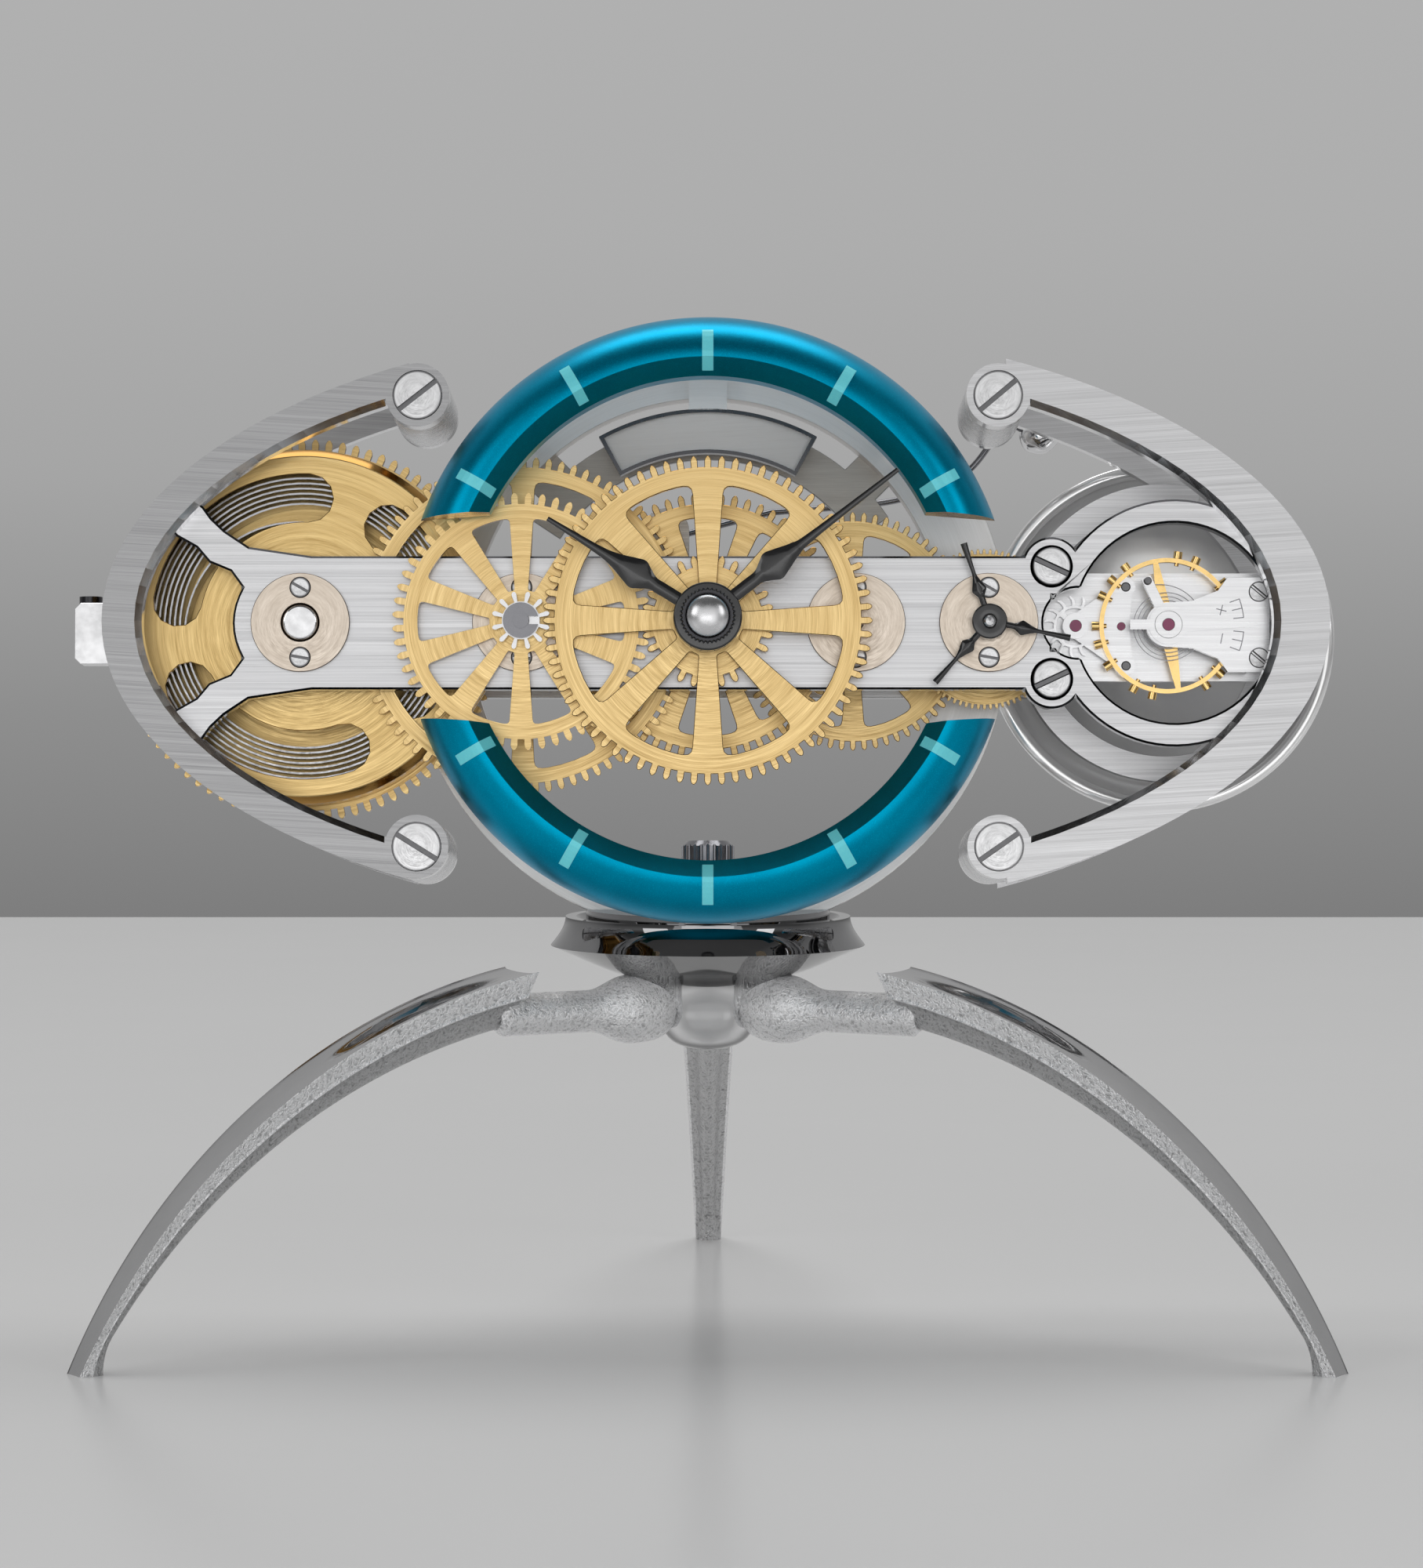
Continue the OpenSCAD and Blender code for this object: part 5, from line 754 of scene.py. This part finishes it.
def hairspring():
    """Radius grows by 0.54 mm a turn and bends outwards to its stud in the last quarter turn."""
    turns, pitch, inner, flare, half, front, back = 6.25, 0.54, 1.7, 0.25, 0.05, 5.4, 5.7
    stud, stud_r, stud_gap, stud_turn = 6.6, 0.5, 0.1, 115
    s = np.linspace(0, turns, int(turns * 72))
    rise = np.clip((s - turns + flare) / flare, 0, 1) ** 2
    radius = inner + pitch * s + (stud - inner - pitch * turns - stud_r - stud_gap) * rise
    angle = np.radians(stud_turn + (s - turns) * 360)
    grid = strip(radius, angle, BALANCE, half, front, back)
    piece("wound_hairspring", [(grid, False, True, 0, 0)], "frame", [DARK_STEEL], ["hairspring"],
          30)


mainspring()
hairspring()


# balance and plaque

def balance_rim():
    """A thin rim on two arms that taper evenly from the hub to the rim."""
    radius, rim, front, back, arm_front, arm_back = 9.27, 0.6, 5.7, 7.0, 6.2, 6.7
    hub_in, hub_out, hub_front = 0.4, 1.1, arm_front - 0.1
    arm_from, hub_half, rim_half = 0.9, 1.2, 0.3
    sheets = [(lathe([[radius - rim, front], [radius, front], [radius, back],
                      [radius - rim, back]], (BALANCE, 0.0), 120), True, True, None, 0),
              (lathe([[hub_in, hub_front], [hub_out, hub_front], [hub_out, arm_back],
                      [hub_in, arm_back]], (BALANCE, 0.0), 48), True, True, None, 0)]
    along = np.linspace(arm_from, radius - rim / 2, 12)[:, None]
    across = (hub_half + (rim_half - hub_half) * along / radius) * np.array([[-1, 1, 1, -1]])
    depth = np.array([[arm_front, arm_front, arm_back, arm_back]]) + 0 * across
    for turn in (100, 280):
        u, w = turned(along, across, turn)
        sheets.append((in_movement(np.stack([BALANCE + u, depth, w], -1)), False, True, 0, 0))
    piece("balance_rim", sheets, "balance", [GOLD], ["balance_wheel"], 40)


def plaque():
    """A sector whose field is sunk inside a thin border, and the stem that hangs it."""
    inner, outer, half, front, back, border, sink = 25.1, 31.3, 29.0, 20.5, 23.0, 0.5, 0.5
    stem_half, stem_low, stem_high = 2.65, 31.15, 36.2
    turn = math.degrees(border / ((inner + outer) / 2))
    sunk = np.linspace(90 - half + turn, 90 + half - turn, 59)
    angle = np.concatenate([[90 - half, sunk[0]], sunk, [sunk[-1], 90 + half]])
    radius = np.array([inner, inner + border, inner + border, outer - border, outer - border,
                       outer, outer, inner])
    depth = np.array([front] * 6 + [back] * 2)[None] + np.zeros((len(angle), 1))
    depth[2:-2, 2:4] += sink
    a = np.radians(angle)[:, None]
    grid = in_movement(np.stack([radius * np.cos(a), depth, radius * np.sin(a)], -1))
    marks = np.zeros((len(angle) - 1, len(radius)), int)
    marks[2:-2, 2] = 1
    stem = np.array([[[-stem_half, front, w], [stem_half, front, w], [stem_half, back, w],
                      [-stem_half, back, w]] for w in (stem_low, stem_high)])
    piece("plaque_sheet", [(grid, False, True, 0, marks), (in_movement(stem), False, True, 2, 2)],
          "frame", [PLAQUE_EDGE, PLAQUE, REAR_RING], ["plaque"], 30)


balance_rim()
plaque()


# marks beside the regulator

def square_to(path):
    """Unit vectors square to a flat path at each of its points."""
    along = np.gradient(path, axis=0)
    along /= np.linalg.norm(along, axis=1)[:, None]
    return np.stack([-along[:, 1], along[:, 0]], -1)


def ribbon(path, half, front, back):
    """A thin bar along a flat path: a rectangle square to the path at each of its points."""
    side = square_to(path)
    grid = np.stack([np.concatenate([path + side * k * half, np.full((len(path), 1), v)], 1)
                     for k, v in ((-1, front), (1, front), (1, back), (-1, back))], 1)
    return in_movement(np.stack([grid[..., 0], grid[..., 2], grid[..., 1]], -1))


def around_balance(radius, degrees):
    a = np.radians(degrees)
    return np.stack([BALANCE + radius * np.cos(a), radius * np.sin(a)], -1)


def cock_marks():
    """Two short arcs with three ticks each, a plus and a minus, set in the cock's face."""
    face, half, proud, sunk = 3.9, 0.07, 0.02, 0.1
    arc_r, tick_in, tick_out, sign_r, sign_reach = 10.3, 8.9, 10.25, 7.5, 0.72
    lines = []
    for side in (1, -1):
        lines.append(around_balance(arc_r, np.linspace(5.2, 20.3, 20) * side))
        for at in (5.5, 12.7, 20.0):
            lines.append(around_balance(np.linspace(tick_in, tick_out, 4), at * side))
    for at, turns in ((15.5, (-15, 75)), (-14.5, (78,))):
        for turn in turns:
            reach = np.linspace(-sign_reach, sign_reach, 4)
            lines.append(around_balance(sign_r, at) + np.stack(turned(reach, 0.0, turn), -1))
    sheets = [(ribbon(path, half, face - proud, face + sunk), False, True, 0, 0) for path in lines]
    piece("cock_marks", sheets, "frame", [DARK_STEEL])


cock_marks()


# bell and hammer

def bell():
    """Lip, then radius crown + reach * cos(a)^0.8 against depth * sin(a), with a wall inside."""
    radius, lip, crown, wall, front, depth, hole = 24.6, 2.0, 4.5, 1.2, 30.0, 9.5, 2.25
    a = np.linspace(0, math.pi / 2, 40)

    def line(w):
        return np.stack([crown + (radius - lip / 3 - crown - w) * np.cos(a) ** 0.8,
                         front + lip + (depth - lip - w) * np.sin(a)], -1)

    turn = np.linspace(0, math.pi, 12)
    edge_deep = 0.6
    edge = np.stack([radius - lip / 2 - np.cos(turn) * lip / 2,
                     front + edge_deep - edge_deep * np.sin(turn)], -1)
    section = np.concatenate([edge, [[radius, front + lip * 0.7]], line(0),
                              [[hole, front + depth], [hole, front + depth - wall]],
                              line(wall)[::-1], [[radius - lip, front + lip * 0.7]]])
    piece("bell_shell", [(lathe(section, (BELL_U, 0.0), 144), True, True, None, 0)], "frame",
          [BELL], ["bell"], 40)


def tube(path, radius, sides, depth):
    """A round wire along a flat path: a circle square to the path at each of its points."""
    side = square_to(path)
    a = np.linspace(0, 2 * math.pi, sides, endpoint=False)
    u = path[:, None, 0] + side[:, None, 0] * radius * np.cos(a)
    w = path[:, None, 1] + side[:, None, 1] * radius * np.cos(a)
    v = np.broadcast_to(depth + radius * np.sin(a)[None], u.shape)
    return in_movement(np.stack([u, v, w], -1))


def hammer():
    """A bent wire with a hub on its post, a tail to the cam and a turned head."""
    depth, wire_r, tail_reach, tail_turn, head_r = 33.0, 0.45, 6.2, 112, 2.7
    pivot, head = np.array(HAMMER_PIVOT), np.array([46.7, 28.8])
    shares = np.array([[0.0, 0.0], [0.26, 0.24], [0.32, 0.27], [0.61, 0.37], [0.8, 0.63],
                       [0.915, 1.09], [1, 0.91]])
    wire = curve_through(pivot + shares * (head - pivot), 12)
    tail = np.linspace(pivot, turned(tail_reach, 0.0, tail_turn), 6)
    hub = lathe([[0.95, depth - 0.9], [1.9, depth - 0.9], [2.2, depth - 0.7], [2.2, depth + 0.7],
                 [1.9, depth + 0.9], [0.95, depth + 0.9]], HAMMER_PIVOT, 48)
    outline = curve_through([[0, -1.0], [0.34, -0.96], [0.62, -0.78], [0.97, -0.2], [0.93, 0.35],
                             [0.6, 1.0], [0.25, 1.5], [0, 1.7]], 6) * head_r
    outline[:, 0] = np.maximum(outline[:, 0], 0)
    x, y, z = revolve(outline, 40)
    lean = math.radians(68)
    leant = np.stack([x * math.cos(lean) + z * math.sin(lean) + head[0], y + depth,
                      -x * math.sin(lean) + z * math.cos(lean) + head[1]], -1)
    piece("hammer_wire", [(tube(wire, wire_r, 16, depth), False, True, 0, 0),
                          (tube(tail, wire_r, 16, depth), False, True, 0, 0),
                          (hub, True, True, None, 0), (in_movement(leant), True, False, None, 1)],
          "hammer", [DARK_STEEL, BRIGHT], ["hammer"], 40)


bell()
hammer()


# stand

DISH_LOW_Z, DISH_LOW_R, DISH_TOP_Z, DISH_TOP_R, DISH_IN_R = 53.3, 21.9, 57.3, 19.85, 18.4
BOWL_R, BOWL_Z, WELL_R, WELL_Z = 17.05, 53.77, 5.45, 49.77
HUB_LOW_Z, SOCKET_Z = 38.7, 44.8
BLADE_TOP, BLADE_LOW = (29.4, 51.0), (32.6, 43.1)
BLADE_WIDTH, OUT_RADIUS, IN_RADIUS, ANKLE = 10.0, 93.0, 92.9, 2.6
FLARE_FROM = 0.93


def hub():
    """The dish and its hanging drop: a smooth line through shares of its radius and height."""
    shares = [[0, 0], [0.12, 0.012], [0.22, 0.07], [0.285, 0.175], [0.32, 0.3], [0.345, 0.42],
              [0.38, 0.53], [0.45, 0.635], [0.55, 0.715], [0.68, 0.79], [0.84, 0.895], [1, 1]]
    size = [DISH_LOW_R, DISH_LOW_Z - HUB_LOW_Z]
    under = curve_through(np.array(shares), 8) * size + [0, HUB_LOW_Z]
    under[:, 0] = np.maximum(under[:, 0], 0)
    turn = np.linspace(0, math.pi / 2, 20)[1:]
    flank = np.stack([DISH_LOW_R - (DISH_LOW_R - DISH_TOP_R) * np.sin(turn),
                      DISH_LOW_Z + (DISH_TOP_Z - DISH_LOW_Z) * turn / (math.pi / 2)], -1)
    bowl = [[DISH_IN_R, DISH_TOP_Z], [BOWL_R, DISH_TOP_Z - 1.4], [BOWL_R, BOWL_Z],
            [WELL_R, BOWL_Z], [WELL_R, WELL_Z], [0, WELL_Z]]
    section = np.concatenate([under, flank, bowl])
    grid = on_stand(np.stack(revolve(section, 160), -1))
    marks = np.zeros((len(grid), len(section) - 1), int)
    # the flank and the bowl take the chrome painted dark as reflection; the drop below keeps the
    # bright chrome
    marks[:, len(under) - 1:] = 1
    piece("hub_dish", [(grid, True, False, None, marks)], "frame", [CHROME, PAINTED_DARK_CHROME], ["hub"],
          35)


def bow(p, q, radius, t):
    """Points at shares t of the arc of that radius from p to q, bulging outwards and upwards."""
    p, q = np.array(p, float), np.array(q, float)
    d = q - p
    half = np.linalg.norm(d) / 2
    rise = math.sqrt(radius ** 2 - half ** 2)
    centre = (p + q) / 2 + np.array([d[1], -d[0]]) / (2 * half) * rise
    a0, a1 = (math.atan2(*(e - centre)[::-1]) for e in (p, q))
    a = a0 + (a1 - a0) * t
    return centre + radius * np.stack([np.cos(a), np.sin(a)], -1)


def blade_section():
    """Half widths and depths of the blade from its top edge down one side to the keel, in shares:
    an upright flank, a ridge, then a narrower lower flank; at the foot one even side."""
    side = [[1, 0], [1, 0.03], [0.97, 0.1], [0.945, 0.2], [0.91, 0.31], [0.885, 0.38],
            [0.9, 0.415], [0.9, 0.44], [0.84, 0.465], [0.72, 0.485], [0.6, 0.51], [0.52, 0.56],
            [0.45, 0.64], [0.4, 0.73], [0.35, 0.82], [0.26, 0.9], [0.14, 0.965], [0, 1]]
    foot = [[1, 0], [1, 0.06], [0.997, 0.12], [0.995, 0.2], [0.99, 0.29], [0.985, 0.37],
            [0.98, 0.43], [0.977, 0.47], [0.97, 0.52], [0.96, 0.57], [0.95, 0.63], [0.94, 0.7],
            [0.92, 0.76], [0.89, 0.82], [0.85, 0.88], [0.72, 0.94], [0.4, 0.98], [0, 1]]
    return np.array(side), np.array(foot)


def leg_blade():
    """One blade: the top line and the keel are arcs, the section thins towards the foot, and an
    almond-shaped hollow is sunk in the polished top near its inner end."""
    hollow_at, hollow_long, hollow_wide, hollow_deep, hollow_soft = 0.2, 0.165, 0.62, 0.13, 0.35
    t = np.concatenate([np.linspace(0, FLARE_FROM, 110), np.linspace(FLARE_FROM, 1, 10)[1:]])
    top = bow(BLADE_TOP, (FOOT_OUT, 0), OUT_RADIUS, t)
    low = bow(BLADE_LOW, (FOOT_OUT - ANKLE, 0), IN_RADIUS, t)
    flare = np.maximum(0, (t - FLARE_FROM) / (1 - FLARE_FROM))
    low = low + np.stack([(FOOT_IN - FOOT_OUT + ANKLE) * flare ** 2, 0 * t], -1)
    width = FOOT_WIDTH + (BLADE_WIDTH - FOOT_WIDTH) * (1 - t ** 1.3)
    side, foot = blade_section()
    shares = side[None] + (foot - side)[None] * flare[:, None, None]
    back = shares[:, ::-1] * [-1, 1]
    cross = np.linspace(-1, 1, 33)[1:-1]
    away = (t - hollow_at)[:, None]
    over = np.sqrt(np.clip(away / hollow_long, -1, 1) ** 2 + (cross[None] / hollow_wide) ** 2)
    hollow = hollow_deep * smoothstep((1 - over) / hollow_soft) * (np.abs(away) < hollow_long)
    crown = 0.02 + 0.03 * (1 - cross[None] ** 2) + hollow
    crown = crown * smoothstep((1 - np.abs(cross)) / 0.1)[None]
    lid = np.stack([np.broadcast_to(cross[None], crown.shape), crown], -1)
    ring = np.concatenate([shares, back[:, 1:], lid], 1)
    middle = top[:, None] + (low - top)[:, None] * ring[..., 1:2]
    grid = np.stack([middle[..., 0], ring[..., 0] * width[:, None] / 2, middle[..., 1]], -1)
    first_top = shares.shape[1] + back.shape[1] - 2
    ridge = 8
    marks = np.zeros((len(t) - 1, grid.shape[1]), int)
    # the lower flanks below the ridges take the darker cast: painted shade
    marks[:, ridge:first_top - ridge] = 2
    marks[:, first_top:] = 1
    return grid, marks


def leg_root():
    """Pin, swelling knuckle and arm about a level line: radius against distance from the axis."""
    pin, pin_in, root_in, root_at, half = 2.0, 3.8, 6.9, 12.6, 6.6
    swell, arm, arm_from, end = 4.75, 2.9, 26, 34.0
    s = np.linspace(root_in, root_at + half, 48)
    inward = np.clip((root_at - s) / (root_at - root_in), 0, 1)
    outward = np.clip((s - root_at) / half, 0, 1)
    radius = np.where(s < root_at, pin + (swell - pin) * np.sqrt(1 - inward ** 2.6 * 0.8),
                      arm + (swell - arm) * (1 + np.cos(math.pi * outward)) / 2)
    line = np.concatenate([[[pin, pin_in], [pin, root_in]], np.stack([radius, s], -1),
                           [[arm, arm_from], [arm, end - arm / 2], [arm * 0.7, end - arm / 8]]])
    a = np.linspace(0, 2 * math.pi, 56, endpoint=False)[None]
    radius, x = line[:, :1], line[:, 1:] + 0 * a
    return np.stack([x, radius * np.cos(a), SOCKET_Z - radius * np.sin(a)], -1)


def legs():
    """Three blades, each with its root, about the stand's axis."""
    forms = (leg_blade(), (leg_root(), 0))
    sheets = [(on_stand(grid, turn), False, True, 0, marks)
              for turn in (-LEG_TURN, 180 + LEG_TURN, 90) for grid, marks in forms]
    piece("cast_legs", sheets, "frame", [CAST, LEG_TOP, CAST_UNDER_SHADE], ["legs"], 28)


hub()
legs()


# stage, light and camera, in metres

def stage_floor():
    """A pale table that ends behind the clock, with soft reflections."""
    mesh = bpy.data.meshes.new("table_top")
    x, near, far = 3.0, -3.0, 0.762
    mesh.from_pydata([(-x, near, 0), (x, near, 0), (x, far, 0), (-x, far, 0)], [], [(0, 1, 2, 3)])
    material, s, gloss = finish("table_paint", 0.0, Specular_IOR_Level=0.4)
    cloud = s.noise(s.put("ShaderNodeTexCoord").outputs["Object"], 3.0, 4.0, 0.5)
    s.feed(gloss, {"Base Color": s.blend(cloud, (0.82, 0.82, 0.82, 1), (0.86, 0.86, 0.86, 1)),
                   "Roughness": s.between(cloud, 0.3, 0.7, 0.18, 0.23)})
    mesh.materials.append(material)
    added("table_top", mesh)


def softbox(name, place, width, height, radiance):
    """A rectangular lamp that looks at the clock; power = pi * area * radiance."""
    light = bpy.data.lights.new(name, "AREA")
    light.shape = "RECTANGLE"
    light.size, light.size_y = width, height
    light.energy = math.pi * width * height * radiance
    lamp = added(name, light)
    lamp.location = place
    aim = Vector((0.0, -0.04, 0.09)) - Vector(place)
    lamp.rotation_euler = aim.to_track_quat("-Z", "Y").to_euler()


def studio_world():
    """Grey paper, darkest at the horizon. For the metal the room behind the camera is dimmer, with
    a dark band above its palest one."""
    world = bpy.data.worlds.new("studio")
    world.use_nodes = True
    bpy.context.scene.world = world
    s = Shader(world.node_tree)
    _, forward, up = s.parts(s.put("ShaderNodeTexCoord").outputs["Generated"])

    def ramp(stops):
        made = s.put("ShaderNodeValToRGB", {0: s.between(up, -0.1, 0.9)})
        elements = made.color_ramp.elements
        while len(elements) < len(stops):
            elements.new(0.5)
        for element, (at, level) in zip(elements, stops):
            element.position = at
            element.color = (level, level, level, 1)
        return made.outputs[0]

    paper = ramp([(0.0, 0.2), (0.027, 0.205), (0.063, 0.272), (0.103, 0.379), (0.142, 0.421),
                  (0.18, 0.435), (0.5, 0.5), (1.0, 0.5)])
    front = ramp([(0.0, 0.1), (0.1, 0.12), (0.2, 0.2), (0.35, 0.28), (0.55, 0.06), (1.0, 0.12)])
    room = s.blend(s.between(forward, -0.2, 0.4), front, paper)
    seen = s.put("ShaderNodeLightPath").outputs["Is Camera Ray"]
    s.feed(world.node_tree.nodes["Background"], {"Color": s.blend(seen, room, paper)})


def photo_camera():
    """The photo's view, with its focal length in the photo's own pixels."""
    focal, photo_height, film, down = 7553, 2000, 36, 2.87
    data = bpy.data.cameras.new("photo_camera")
    data.sensor_fit = "VERTICAL"
    data.sensor_height = film
    data.lens = focal / photo_height * film
    camera = added("photo_camera", data)
    camera.location = (0.0005, -0.8473, 0.117)
    camera.rotation_euler = (math.radians(90 - down), 0, 0)
    bpy.context.scene.camera = camera


stage_floor()
studio_world()
softbox("front_box", (0.0, -1.7, 0.5), 1.8, 1.1, 0.62)
softbox("low_box", (0.0, -1.6, 0.13), 1.2, 0.36, 1.0)
softbox("left_box", (-1.2, -1.3, 0.75), 0.7, 0.8, 1.9)
softbox("right_box", (1.3, -1.2, 0.8), 0.5, 0.8, 2.4)
softbox("top_box", (0.0, 0.35, 1.8), 1.5, 0.9, 2.6)
photo_camera()
bpy.context.scene.view_settings.view_transform = "Standard"
